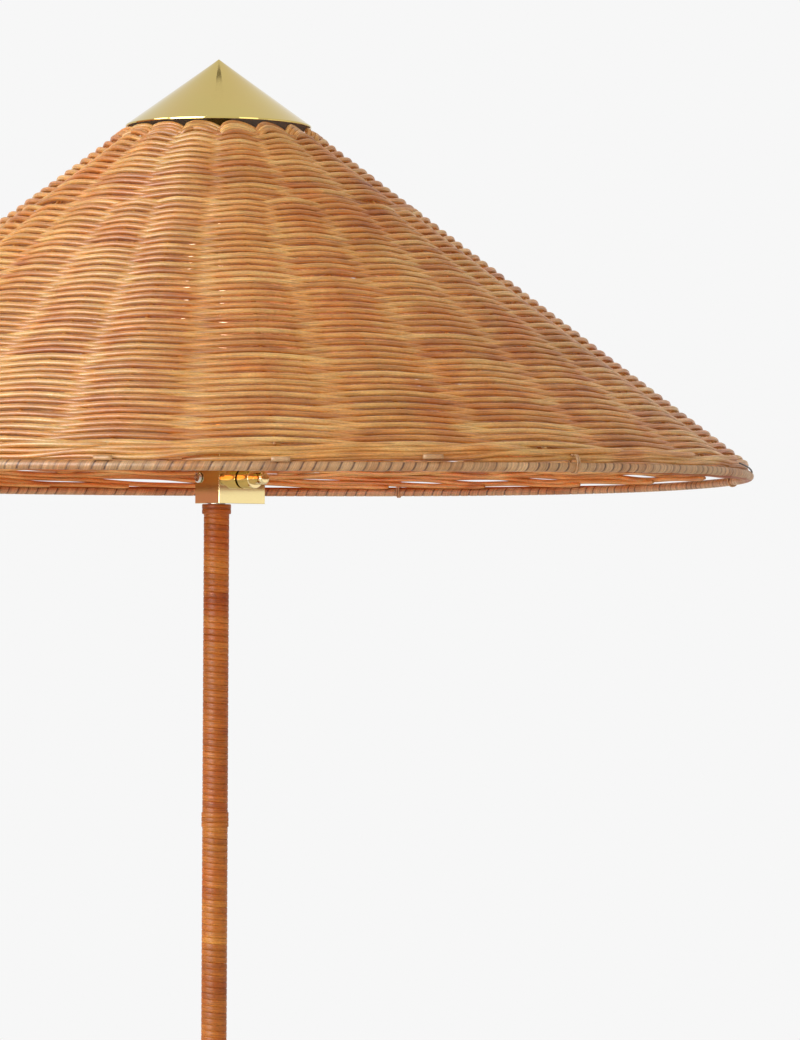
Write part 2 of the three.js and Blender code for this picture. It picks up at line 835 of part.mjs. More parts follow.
// The angle of a stake that runs the whole way, round from the front
function throughStake(index, down) {
  const addedBefore = Math.floor((index + 1) / addedStakeEvery);
  const above = firstStakeAbove + (Math.PI * 2 * (index - addedBefore)) / stakesAbove;
  const below = firstStakeBelow + (Math.PI * 2 * index) / stakesBelow;
  return THREE.MathUtils.lerp(above, below, THREE.MathUtils.smoothstep(down, fanStart, fanEnd));
}

// The angle of any stake. An added one starts at its right-hand neighbour's side
function stakeAngle(index, down) {
  if (index % addedStakeEvery !== 1) return throughStake(index, down);
  const beside = throughStake(index + 1, down) - stakeDiameter / wallPoint(down, 0).x;
  const below = firstStakeBelow + (Math.PI * 2 * index) / stakesBelow;
  return THREE.MathUtils.lerp(beside, below, THREE.MathUtils.smoothstep(down, addedStart, addedEnd));
}

// One line of points down the outside and back up the inside, at a share of the way from one
// stake to the next, where the ripple has this much of its height
function weaveLine(index, share, height) {
  const spot = (down, side) => {
    const from = stakeAngle(index, down);
    const to = stakeAngle(index + 1, down);
    const apart = (to - from) * wallPoint(down, 0).x;
    const ripple = THREE.MathUtils.smoothstep(apart, stakeDiameter, sideBySide);
    const filled = side > 0 ? THREE.MathUtils.smoothstep(down, borderStart, borderFull) : 0;
    const proud = THREE.MathUtils.lerp(1, height, ripple * (1 - filled));
    const edgeDip = down === 0 ? scallopDepth * ripple * (1 - height) : 0;
    const place = wallPoint(down + edgeDip, side * (strandDiameter / 2 + swing * proud));
    return { angle: THREE.MathUtils.lerp(from, to, share), place };
  };
  const outside = [0, fanStart, fanMiddle, fanEnd, addedEnd, borderStart, borderFull];
  const within = [borderFull, addedEnd, fanEnd, fanMiddle, fanStart, 0];
  const footAngle = spot(borderFull, 1).angle;
  const foot = [
    point(rimRadius + bindingRadius / 2, weaveBottomZ + bindingRadius / 2),
    point(rimRadius + bindingRadius / 2, weaveBottomZ),
    point(rimRadius - bindingRadius, weaveBottomZ),
  ].map((place) => ({ angle: footAngle, place }));
  return [...outside.map((down) => spot(down, 1)), ...foot, ...within.map((down) => spot(down, -1))];
}

const weaveLines = Array.from({ length: stakesBelow }, (_, index) => [
  weaveLine(index, crestReach, crestShare),
  weaveLine(index, 1 / 2, 0),
  weaveLine(index, 1 - crestReach, crestShare),
]).flat();

// A closed skin over rings of points: each line joins the next one, and the last the first
function skin(lines) {
  const count = lines[0].length;
  const corners = lines.flat().flatMap(({ angle, place }) => [
    place.x * Math.sin(angle),
    -place.x * Math.cos(angle),
    place.y,
  ]);
  const faces = lines.flatMap((_, line) =>
    Array.from({ length: count }, (_, step) => {
      const nextStep = (step + 1) % count;
      const here = line * count;
      const beside = ((line + 1) % lines.length) * count;
      return [here + step, here + nextStep, beside + step, beside + step, here + nextStep, beside + nextStep];
    }).flat()
  );
  const geometry = new THREE.BufferGeometry();
  geometry.setAttribute("position", new THREE.Float32BufferAttribute(corners, 3));
  geometry.setIndex(faces);
  return geometry;
}
add("shade_weave", skin(weaveLines), wovenRattan);

// Rim: a hoop, bound all round with split cane that is open only where the weave stands on it
const bindingThickness = 0.9;
const bindingMouthShare = 1 / 6; // share of a half turn that stays open each side of the top
const bindingSteps = 5;
const hoopSides = 6;
const hoopRadius = bindingRadius - bindingThickness - gap;
const rimCentre = point(rimRadius, rimCentreZ);
const mouth = Math.PI * bindingMouthShare;
const bindingFrom = Math.PI / 2 + mouth;
const bindingTo = Math.PI / 2 - mouth + Math.PI * 2;
add(
  "rim_hoop",
  turned(
    arcPoints(rimCentre, hoopRadius, 0, Math.PI * 2, hoopSides).slice(0, -1),
    rimSides
  ),
  wrappedCane
);
add(
  "rim_binding",
  turned(
    [
      ...arcPoints(rimCentre, bindingRadius, bindingFrom, bindingTo, bindingSteps + 1),
      ...arcPoints(rimCentre, bindingRadius - bindingThickness, bindingTo, bindingFrom, bindingSteps + 1),
    ],
    rimSides
  ),
  rimCane
);

// Lashings that tie the rim to the weave's border
const lashings = 6;
const lashingThickness = 0.8;
const lashingWidth = 5;
const firstLashing = (Math.PI * 2) / rimSides; // each lashing lies where two flats of the rim meet
const lashingSteps = 6;
const lashingInner = bindingRadius + gap;
const lashingOuter = lashingInner + lashingThickness;
const lashingReach = Math.asin(bindingRadius / lashingOuter);
const lashingShape = new THREE.Shape([
  ...arcPoints(point(0, 0), lashingOuter, Math.PI - lashingReach, Math.PI * 2 + lashingReach, lashingSteps),
  ...arcPoints(point(0, 0), lashingInner, Math.PI * 2 + lashingReach, Math.PI - lashingReach, lashingSteps),
]);
for (let i = 0; i < lashings; i += 1) {
  const band = new THREE.ExtrudeGeometry(lashingShape, { depth: lashingWidth, bevelEnabled: false })
    .translate(0, 0, -lashingWidth / 2)
    .rotateX(Math.PI / 2)
    .translate(rimRadius, 0, rimCentreZ);
  const lashing = add("rim_lashing_" + (i + 1), band, rimCane);
  lashing.rotation.z = firstLashing + (Math.PI * 2 * i) / lashings;
}

// Shade carrier: a wire ring inside the weave's top, three arms and a hub
const topRingWire = 2;
const topRingDown = 4; // along the slant, from the weave's upper edge
const armWire = 1.5;
const arms = 3;
const hubRadius = 12;
const hubThickness = 3;
const studRadius = 3;
const topRingSides = 30;
const topRingCentre = inside(
  weaveTop.clone().addScaledVector(downSlant, topRingDown),
  shadeWall + gap + topRingWire
);
const hubZ = topRingCentre.y;
const hubBottom = hubZ - hubThickness / 2;
const hubTop = hubZ + hubThickness / 2;
add(
  "shade_top_ring",
  turned(
    arcPoints(topRingCentre, topRingWire, 0, Math.PI * 2, wireSides).slice(0, -1),
    topRingSides
  ),
  steel
);
const topRingFlat = topRingCentre.x * Math.cos(Math.PI / topRingSides); // the ring's flats reach in this far
const armEnd = topRingFlat - topRingWire - gap;
const armRods = Array.from({ length: arms }, (_, i) =>
  rod(armWire, hubRadius / 2, armEnd, wireSides)
    .rotateY(Math.PI / 2)
    .translate(0, 0, hubZ)
    .rotateZ((Math.PI * 2 * i) / arms)
);
const hubDisc = rod(hubRadius, hubBottom, hubTop, turnedSides);
const hubHole = rod(studRadius + gap, hubBottom - cutOverrun, hubTop + cutOverrun, caneSides);
add("shade_spider", cut(joined(hubDisc, ...armRods), hubHole), steel);

// Harp: a bent wire with a pierced boss on top, held to the saddle by two ferrules
const harpHalfWidth = 46;
const harpStraight = 16;
const ferruleWall = 1.2;
const ferruleHeight = 14;
const bossRadius = 8;
const bossThickness = 4.4;
const studFlange = 8;
const studFlangeThickness = 3;
const studAbove = 11;
const studNutAcross = 10;
const studNutHeight = 4;
const harpSteps = 40;
const harpShoulderShare = 0.34; // of the harp's height, where the legs reach their full width
const harpWaistShare = 0.62; // where they turn in again

const flangeTop = hubBottom - gap;
const flangeBottom = flangeTop - studFlangeThickness;
const bossTop = flangeBottom - gap;
const bossBottom = bossTop - bossThickness;
const harpTopZ = (bossTop + bossBottom) / 2;
const harpFootZ = saddleTop + saddlePinHeight + gap;
const harpRise = harpTopZ - harpFootZ;

function harpLeg(side) {
  const at = (x, z) => new THREE.Vector3(side * x, 0, z);
  const straightTop = harpFootZ + harpStraight;
  const shoulderZ = harpFootZ + harpRise * harpShoulderShare;
  const waistZ = harpFootZ + harpRise * harpWaistShare;
  const swing = (shoulderZ - straightTop) / 2;
  return [
    new THREE.LineCurve3(at(harpFoot, harpFootZ), at(harpFoot, straightTop)),
    new THREE.CubicBezierCurve3(
      at(harpFoot, straightTop),
      at(harpFoot, straightTop + swing),
      at(harpHalfWidth, shoulderZ - swing),
      at(harpHalfWidth, shoulderZ)
    ),
    new THREE.LineCurve3(at(harpHalfWidth, shoulderZ), at(harpHalfWidth, waistZ)),
    new THREE.CubicBezierCurve3(
      at(harpHalfWidth, waistZ),
      at(harpHalfWidth, (waistZ + harpTopZ) / 2),
      at(harpFoot, harpTopZ),
      at(bossRadius, harpTopZ)
    ),
  ];
}

// The right leg's curves, run backwards, join the left leg's at the boss
const backwards = (curve) =>
  curve.isLineCurve3
    ? new THREE.LineCurve3(curve.v2, curve.v1)
    : new THREE.CubicBezierCurve3(curve.v3, curve.v2, curve.v1, curve.v0);
const harpPath = new THREE.CurvePath();
const leftLeg = harpLeg(-1);
const rightLeg = harpLeg(1);
leftLeg.forEach((curve) => harpPath.add(curve));
harpPath.add(new THREE.LineCurve3(leftLeg.at(-1).v3, rightLeg.at(-1).v3));
rightLeg.reverse().forEach((curve) => harpPath.add(backwards(curve)));
const harpTube = new THREE.ExtrudeGeometry(roundSection(harpWire, wireSides), {
  steps: harpSteps,
  extrudePath: harpPath,
  bevelEnabled: false,
});
const harpBoss = rod(bossRadius, bossBottom, bossTop, turnedSides);
const harpHole = rod(studRadius + gap, bossBottom - cutOverrun, bossTop + cutOverrun, caneSides);
add("harp", cut(joined(harpTube, harpBoss), harpHole), polishedBrass, harpGroup);

const ferruleLow = saddleTop + gap;
[-harpFoot, harpFoot].forEach((x, i) => {
  const bore = harpWire + gap;
  const ferrule = sleeve(bore + ferruleWall, bore, ferruleLow, ferruleLow + ferruleHeight, caneSides);
  add("harp_ferrule_" + (i + 1), ferrule, polishedBrass, harpGroup).position.x = x;
});

const studNutTop = bossBottom - gap;
const studNutLow = studNutTop - studNutHeight;
const studTop = hubTop + studAbove;
add(
  "harp_stud",
  turned(
    [
      point(0, studNutLow),
      point(studRadius, studNutLow),
      point(studRadius, flangeBottom),
      point(studFlange, flangeBottom),
      point(studFlange, flangeTop),
      point(studRadius, flangeTop),
      point(studRadius, studTop),
      point(0, studTop),
    ],
    caneSides
  ),
  steel,
  head
);
add("harp_stud_nut", plate(hexShape(studNutAcross, studRadius + gap), studNutLow, studNutTop), steel, head);

// Cap: a spun cone with a boss inside that screws on the stud and holds the shade down
const capWall = 1.2;
const capBossRadius = 7;
const capRadius = capDiameter / 2;
const capSlope = capHeight / capRadius;
const capWallRise = capWall * Math.hypot(1, capSlope); // the wall's thickness, measured upright
add(
  "top_cap",
  turned(
    [
      point(capRadius, capBaseZ),
      point(0, lampHeight),
      point(0, lampHeight - capWallRise),
      point(capRadius - capWallRise / capSlope, capBaseZ),
    ],
    capSides
  ),
  polishedBrass
);
const capBossBottom = hubTop + gap;
const capBossTop = lampHeight - capWallRise - capBossRadius * capSlope - gap;
add(
  "cap_boss",
  turned(
    [
      point(studRadius + gap, capBossBottom),
      point(capBossRadius, capBossBottom),
      point(capBossRadius, capBossTop),
      point(0, capBossTop),
      point(0, studTop + gap),
      point(studRadius + gap, studTop + gap),
    ],
    turnedSides
  ),
  polishedBrass
);

export default lamp;
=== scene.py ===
"""Rattan floor lamp: the finish of every surface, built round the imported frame. Metres, +Z up."""

import math
import random

import bmesh
import bpy
import numpy as np
from mathutils import Matrix, Vector


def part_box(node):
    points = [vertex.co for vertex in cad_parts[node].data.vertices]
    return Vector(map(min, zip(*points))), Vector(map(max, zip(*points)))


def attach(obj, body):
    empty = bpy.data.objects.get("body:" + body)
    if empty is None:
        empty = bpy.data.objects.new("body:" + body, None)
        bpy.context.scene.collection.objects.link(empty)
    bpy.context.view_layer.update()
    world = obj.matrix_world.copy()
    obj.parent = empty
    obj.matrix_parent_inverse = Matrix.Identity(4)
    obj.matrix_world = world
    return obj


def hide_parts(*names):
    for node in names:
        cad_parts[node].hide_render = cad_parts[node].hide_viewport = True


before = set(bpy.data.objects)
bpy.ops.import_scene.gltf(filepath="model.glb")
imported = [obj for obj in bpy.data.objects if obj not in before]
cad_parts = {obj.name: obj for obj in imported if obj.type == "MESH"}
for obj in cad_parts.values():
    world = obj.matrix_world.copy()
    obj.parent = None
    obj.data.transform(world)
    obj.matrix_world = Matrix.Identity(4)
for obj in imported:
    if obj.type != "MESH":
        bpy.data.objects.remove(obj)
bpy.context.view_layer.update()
MM = 0.001

# Camera: it stands 2.4 m in front of the stem, a little below the rim, and looks up and to the
# right, so that the stem stands left of the middle of the 800 x 1040 picture.
PICTURE_WIDTH, PICTURE_HEIGHT = 800, 1040
STEM_PIXEL_X, HORIZON_PIXEL_Y = 216.5, 578.0
MM_PER_PIXEL = 0.5607
CAMERA_DISTANCE = 2.4
CAMERA_BELOW_RIM = 0.0555
CAMERA_ROLL = math.radians(0.26)
SENSOR = 36.0


def in_scene(name, data):
    """A new object in the scene."""
    made = bpy.data.objects.new(name, data)
    bpy.context.scene.collection.objects.link(made)
    return made


hoop_low, hoop_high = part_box("rim_hoop")
rim_z = (hoop_low.z + hoop_high.z) / 2
eye = Vector((0, -CAMERA_DISTANCE, rim_z - CAMERA_BELOW_RIM))
pixel = MM_PER_PIXEL * MM
aim = Vector(
    (
        (PICTURE_WIDTH / 2 - STEM_PIXEL_X) * pixel,
        0,
        eye.z + (HORIZON_PIXEL_Y - PICTURE_HEIGHT / 2) * pixel,
    )
)
camera_data = bpy.data.cameras.new("camera")
camera_data.sensor_width = SENSOR
camera_data.lens = SENSOR * CAMERA_DISTANCE / pixel / PICTURE_HEIGHT
camera = in_scene("camera", camera_data)
camera.rotation_mode = "QUATERNION"
look = (aim - eye).to_track_quat("-Z", "Y")
camera.rotation_quaternion = look @ Matrix.Rotation(CAMERA_ROLL, 3, "Z").to_quaternion()
camera.location = eye
bpy.context.scene.camera = camera
bpy.context.scene.view_settings.view_transform = "Standard"


# Studio: a pale matt floor under a white surround, with large soft lamps in front, to the left
# and overhead. Boards beside and above the lamp show only as reflections.
def linear(hex_colour):
    """An sRGB hex colour as linear RGBA."""
    parts = [int(hex_colour[i : i + 2], 16) / 255 for i in (1, 3, 5)]
    return (*[c / 12.92 if c <= 0.04045 else ((c + 0.055) / 1.055) ** 2.4 for c in parts], 1)


def node(tree, kind, settings=None, links=None):
    """Adds a shader node, sets its values and links its inputs."""
    made = tree.nodes.new(kind)
    for key, value in (settings or {}).items():
        if isinstance(key, str) and hasattr(made, key):
            setattr(made, key, value)
        else:
            made.inputs[key].default_value = value
    for key, socket in (links or {}).items():
        tree.links.new(socket, made.inputs[key])
    return made


def new_material(name):
    """A material with an empty tree, its output, and a principled shader."""
    material = bpy.data.materials.new(name)
    material.use_nodes = True
    tree = material.node_tree
    tree.nodes.clear()
    shader = node(tree, "ShaderNodeBsdfPrincipled")
    node(tree, "ShaderNodeOutputMaterial", links={"Surface": shader.outputs[0]})
    return material, tree, shader


SURROUND = "#f7f7f7"
FLOOR_SIZE = 9.0
WORLD_STRENGTH = 0.62
CAP_TIP = 1.52

world = bpy.data.worlds.new("studio")
bpy.context.scene.world = world
world.use_nodes = True
sky = world.node_tree
sky.nodes.clear()
rays = node(sky, "ShaderNodeLightPath")
seen = node(
    sky,
    "ShaderNodeMath",
    {"operation": "MAXIMUM"},
    {0: rays.outputs["Is Camera Ray"], 1: rays.outputs["Is Transmission Ray"]},
)
mirrored = node(
    sky,
    "ShaderNodeMath",
    {"operation": "MAXIMUM"},
    {0: seen.outputs[0], 1: rays.outputs["Is Glossy Ray"]},
)
lit = node(sky, "ShaderNodeBackground", {"Color": linear("#ffffff"), "Strength": WORLD_STRENGTH})
plain = node(sky, "ShaderNodeBackground", {"Color": linear(SURROUND), "Strength": 1.0})
either = node(
    sky, "ShaderNodeMixShader", links={0: mirrored.outputs[0], 1: lit.outputs[0], 2: plain.outputs[0]}
)
node(sky, "ShaderNodeOutputWorld", links={"Surface": either.outputs[0]})

bpy.ops.mesh.primitive_plane_add(size=FLOOR_SIZE)
floor = bpy.context.object
floor.name = "studio_floor"
floor_material, _, floor_shader = new_material("matt_floor")
floor_shader.inputs["Base Color"].default_value = linear("#e9e8e6")
floor_shader.inputs["Roughness"].default_value = 0.9
floor.data.materials.append(floor_material)

# each lamp: place, size, power in watts, whether it lights surfaces, and whether they mirror it
for name, place, size, power, lights, mirrored in (
    ("key_lamp", (-2.2, -2.9, 2.2), 1.6, 47, True, True),
    ("left_lamp", (-3.2, -0.8, 2.4), 1.2, 47, True, True),
    ("fill_lamp", (2.0, -2.6, 1.7), 1.4, 10, True, True),
    ("overhead_lamp", (-0.9, 1.6, 3.4), 1.6, 20, True, False),
    ("sheen_lamp", (-1.9, -2.3, 1.9), 2.4, 200, False, True),
):
    lamp_data = bpy.data.lights.new(name, "AREA")
    lamp_data.size = size
    lamp_data.energy = power
    lamp = in_scene(name, lamp_data)
    lamp.location = place
    lamp.rotation_euler = (aim - Vector(place)).to_track_quat("-Z", "Y").to_euler()
    lamp.visible_diffuse = lights
    lamp.visible_glossy = mirrored

# Inside the shade light goes round from cane to cane and warms: two small lamps near the axis face
# the far wall, and a third hangs in front of the knob, which mirrors it.
WALL_GLOW, WALL_GLOW_SIZE = "#ff5428", 60 * MM
KNOB_GLOW, KNOB_GLOW_RADIUS = "#ffa562", 40 * MM
GLOW_DIP = 0.12
# each lamp: place from the rim's middle, degrees it faces round from the back, watts, mirrored
for name, place, facing, power, mirrored in (
    ("glow_left", (-0.03, 0.06, 0.03), 42, 0.09, False),
    ("glow_right", (0.03, 0.06, 0.03), -42, 0.09, False),
    ("glow_knob", (0.03, -0.15, 0.022), 180, 0.17, True),
):
    lamp_data = bpy.data.lights.new(name, "POINT" if mirrored else "AREA")
    lamp_data.energy = power
    if mirrored:
        lamp_data.shadow_soft_size = KNOB_GLOW_RADIUS
        lamp_data.color = linear(KNOB_GLOW)[:3]
    else:
        lamp_data.size = WALL_GLOW_SIZE
        lamp_data.color = linear(WALL_GLOW)[:3]
    lamp = in_scene(name, lamp_data)
    lamp.location = Vector((0, 0, rim_z)) + Vector(place)
    heading = math.radians(facing)
    towards = Vector((-math.sin(heading), math.cos(heading), -GLOW_DIP))
    lamp.rotation_euler = towards.to_track_quat("-Z", "Y").to_euler()
    lamp.visible_camera = False
    lamp.visible_glossy = mirrored

# each board: middle, width, height, colour, strength. It faces the stem, at its own height or at
# the cap's tip.
for name, place, width, height, colour, strength in (
    ("brown_board", (-0.8, 0.13, 1.33), 0.6, 0.55, "#cf8e7e", 1.0),
    ("white_board", (0.9, -0.16, 1.3), 0.6, 0.5, "#fffdf8", 1.2),
    ("dark_board", (0, 0.0945, 1.75), 0.026, 0.006, "#2c2617", 1.0),
):
    bpy.ops.mesh.primitive_plane_add(size=1)
    board = bpy.context.object
    board.name = name
    board.location = place
    board.scale = (width, height, 1)
    towards = Vector((0, 0, min(place[2], CAP_TIP))) - Vector(place)
    board.rotation_euler = towards.to_track_quat("Z", "Y").to_euler()
    board.visible_camera = board.visible_diffuse = board.visible_shadow = False
    board_material, _, board_shader = new_material(name)
    board_shader.inputs["Base Color"].default_value = linear("#000000")
    board_shader.inputs["Emission Color"].default_value = linear(colour)
    board_shader.inputs["Emission Strength"].default_value = strength
    board.data.materials.append(board_material)


# Metals: brass spun or machined, buffed to a mirror and lacquered, so that it takes the colour of
# what stands round it, and steel plated with zinc or nickel. Faint turning marks run round the axis.
def turned_metal(name, colour, roughness, mark_pitch, mark_depth):
    """A metal with fine marks round the Z axis, mark_pitch metres apart."""
    material, tree, shader = new_material(name)
    where = node(tree, "ShaderNodeTexCoord")
    marks = node(
        tree,
        "ShaderNodeTexNoise",
        {"noise_dimensions": "1D", "Scale": 1 / mark_pitch, "Detail": 3.0},
    )
    height = node(tree, "ShaderNodeSeparateXYZ", links={0: where.outputs["Object"]})
    tree.links.new(height.outputs["Z"], marks.inputs["W"])
    stain = node(
        tree, "ShaderNodeTexNoise", {"Scale": 30.0, "Detail": 4.0}, {"Vector": where.outputs["Object"]}
    )
    tint = node(
        tree,
        "ShaderNodeMix",
        {"data_type": "RGBA", "blend_type": "MULTIPLY", 0: 0.10, 6: linear(colour)},
        {7: stain.outputs["Color"]},
    )
    rough = node(
        tree,
        "ShaderNodeMapRange",
        {"From Min": 0.3, "From Max": 0.7, "To Min": roughness * 0.7, "To Max": roughness * 1.4},
        {"Value": stain.outputs["Fac"]},
    )
    bump = node(
        tree, "ShaderNodeBump", {"Strength": 0.35, "Distance": mark_depth}, {"Height": marks.outputs["Fac"]}
    )
    tree.links.new(tint.outputs[2], shader.inputs["Base Color"])
    tree.links.new(rough.outputs[0], shader.inputs["Roughness"])
    tree.links.new(bump.outputs[0], shader.inputs["Normal"])
    shader.inputs["Metallic"].default_value = 1.0
    return material


polished_brass = turned_metal("lacquered_polished_brass", "#d0b86e", 0.07, 0.8 * MM, 0.006 * MM)
milled_brass = turned_metal("milled_polished_brass", "#e4d09a", 0.06, 0.8 * MM, 0.002 * MM)
plated_steel = turned_metal("zinc_plated_steel", "#b5b3ae", 0.30, 0.4 * MM, 0.01 * MM)
nickel = turned_metal("nickel_plated_steel", "#cfc8bd", 0.12, 0.3 * MM, 0.004 * MM)


def dress(material, *names):
    """Gives carried-over frame nodes one material."""
    for name in names:
        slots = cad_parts[name].data.materials
        slots.clear()
        slots.append(material)


def finished(bm, name, material, body, replaced, smooth=True, sharp=math.radians(35)):
    """Makes a bmesh a piece that rides on a body and stands for frame nodes."""
    bmesh.ops.recalc_face_normals(bm, faces=bm.faces)
    mesh = bpy.data.meshes.new(name)
    bm.to_mesh(mesh)
    bm.free()
    for face in mesh.polygons:
        face.use_smooth = smooth
    if smooth:
        mesh.set_sharp_from_angle(angle=sharp)
    mesh.materials.append(material)
    return placed(mesh, name, body, replaced)


def placed(mesh, name, body, replaced):
    """Puts a finished mesh in the scene, on its body."""
    piece = in_scene(name, mesh)
    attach(piece, body)
    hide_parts(*replaced)
    return piece


WELD = 0.001 * MM


def spun(outline, steps=64, closed=False):
    """A bmesh turned round the Z axis from (radius, height) points."""
    bm = bmesh.new()
    verts = [bm.verts.new((radius, 0, height)) for radius, height in outline]
    edges = [bm.edges.new(pair) for pair in zip(verts, verts[1:])]
    if closed:
        edges.append(bm.edges.new((verts[-1], verts[0])))
    bmesh.ops.spin(
        bm,
        geom=verts + edges,
        cent=(0, 0, 0),
        axis=(0, 0, 1),
        angle=math.tau,
        steps=steps,
        use_merge=True,
    )
    bmesh.ops.remove_doubles(bm, verts=bm.verts, dist=WELD)
    return bm


def arc(centre_r, centre_z, radius, start, end, steps):
    """Points of an arc in the (radius, height) plane, angles in degrees."""
    return [
        (
            centre_r + radius * math.cos(math.radians(start + (end - start) * i / steps)),
            centre_z + radius * math.sin(math.radians(start + (end - start) * i / steps)),
        )
        for i in range(steps + 1)
    ]


# Foot cover: brass sheet spun over a former, with a rounded shoulder and a thin straight skirt. It
# hides the iron weight and has a hole for the stem.
cover_low, cover_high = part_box("base_cover")
foot_radius = cover_high.x
COVER_WALL = 1.2 * MM
COVER_SHOULDER = 5.0 * MM
STEM_HOLE = 5.3 * MM
shoulder_r, shoulder_z = foot_radius - COVER_SHOULDER, cover_high.z - COVER_SHOULDER
cover = spun(
    [
        (STEM_HOLE, cover_high.z - COVER_WALL),
        *arc(shoulder_r, shoulder_z, COVER_SHOULDER - COVER_WALL, 90, 0, 8),
        (foot_radius - COVER_WALL, cover_low.z),
        *arc(foot_radius - COVER_WALL / 2, cover_low.z, COVER_WALL / 2, 180, 360, 4)[1:-1],
        (foot_radius, cover_low.z),
        *arc(shoulder_r, shoulder_z, COVER_SHOULDER, 0, 90, 10),
        (STEM_HOLE, cover_high.z),
    ],
    steps=128,
    closed=True,
)
finished(cover, "foot_cover_spun", polished_brass, "stand", ["base_cover"])

# Foot collar: turned brass, a flat flange that sweeps up into a neck round the stem. Its outer
# edges are just broken.
collar_low, collar_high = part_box("base_collar")
COLLAR_NECK = 9.0 * MM
COLLAR_SWEEP = 6.0 * MM
COLLAR_FLANGE_THICKNESS = 3.0 * MM
COLLAR_EDGE = 0.5 * MM
flange_top = collar_low.z + COLLAR_FLANGE_THICKNESS
collar = spun(
    [
        (STEM_HOLE, collar_low.z),
        (collar_high.x - COLLAR_EDGE, collar_low.z),
        (collar_high.x, collar_low.z + COLLAR_EDGE),
        *arc(collar_high.x - COLLAR_EDGE, flange_top - COLLAR_EDGE, COLLAR_EDGE, 0, 90, 4),
        *arc(COLLAR_NECK + COLLAR_SWEEP, flange_top + COLLAR_SWEEP, COLLAR_SWEEP, 270, 180, 10),
        *arc(COLLAR_NECK - COLLAR_EDGE, collar_high.z - COLLAR_EDGE, COLLAR_EDGE, 0, 90, 4),
        (STEM_HOLE, collar_high.z),
    ],
    closed=True,
)
finished(collar, "foot_collar_turned", polished_brass, "stand", ["base_collar"])


# Plain pieces that keep their frame shapes: the felt pad, the iron weight, the rubber and phenolic
# mouldings, the porcelain, and the fasteners and tubes that are mostly hidden.
def ramp(tree, value, *stops):
    """A value as a colour, from stops of (position, hex colour)."""
    made = node(tree, "ShaderNodeValToRGB", links={0: value})
    elements = made.color_ramp.elements
    for position, colour in stops[1:-1]:
        elements.new(position)
    for element, (position, colour) in zip(elements, stops):
        element.position = position
        element.color = linear(colour)
    return made.outputs[0]


def mottled(name, light, dark, roughness, grain, depth):
    """A matt surface whose tone and height follow one noise, grain metres across."""
    material, tree, shader = new_material(name)
    where = node(tree, "ShaderNodeTexCoord")
    noise = node(
        tree,
        "ShaderNodeTexNoise",
        {"Scale": 1 / grain, "Detail": 5.0, "Roughness": 0.6},
        {"Vector": where.outputs["Object"]},
    )
    tint = ramp(tree, noise.outputs["Fac"], (0.35, dark), (0.65, light))
    bump = node(
        tree, "ShaderNodeBump", {"Strength": 0.5, "Distance": depth}, {"Height": noise.outputs["Fac"]}
    )
    tree.links.new(tint, shader.inputs["Base Color"])
    tree.links.new(bump.outputs[0], shader.inputs["Normal"])
    shader.inputs["Roughness"].default_value = roughness
    return material


wool_felt = mottled("pressed_wool_felt", "#3a3734", "#242220", 0.95, 0.9 * MM, 0.3 * MM)
cast_iron = mottled("painted_cast_iron", "#3f3e3d", "#2c2b2b", 0.7, 1.6 * MM, 0.25 * MM)
moulded_rubber = mottled("moulded_rubber", "#262524", "#1b1a1a", 0.65, 0.5 * MM, 0.03 * MM)
phenolic = mottled("moulded_phenolic", "#2c2420", "#1c1714", 0.35, 0.7 * MM, 0.02 * MM)
porcelain = mottled("glazed_porcelain", "#efece4", "#e6e2d8", 0.12, 6.0 * MM, 0.02 * MM)
dress(wool_felt, "base_felt_pad")
dress(cast_iron, "base_weight")
dress(moulded_rubber, "base_cord_inlet")
dress(phenolic, "switch_body")
dress(porcelain, "holder_insulator")
dress(plated_steel, "base_washer", "base_nut", "stem_tube", "holder_nipple", "harp_stud", "harp_stud_nut")
dress(plated_steel, "switch_ring_nut", "switch_shaft", "holder_screw_shell", "shade_spider")
dress(nickel, "lid_screw_1", "lid_screw_2")
dress(polished_brass, "holder_contact", "cap_boss")


# Rattan: peeled core or split skin of the climbing palm. Long fibres run with each cane, its tone
# drifts along its length, and one cane is paler or redder than the next.
UNRIPE_ON_RIM = 0.3


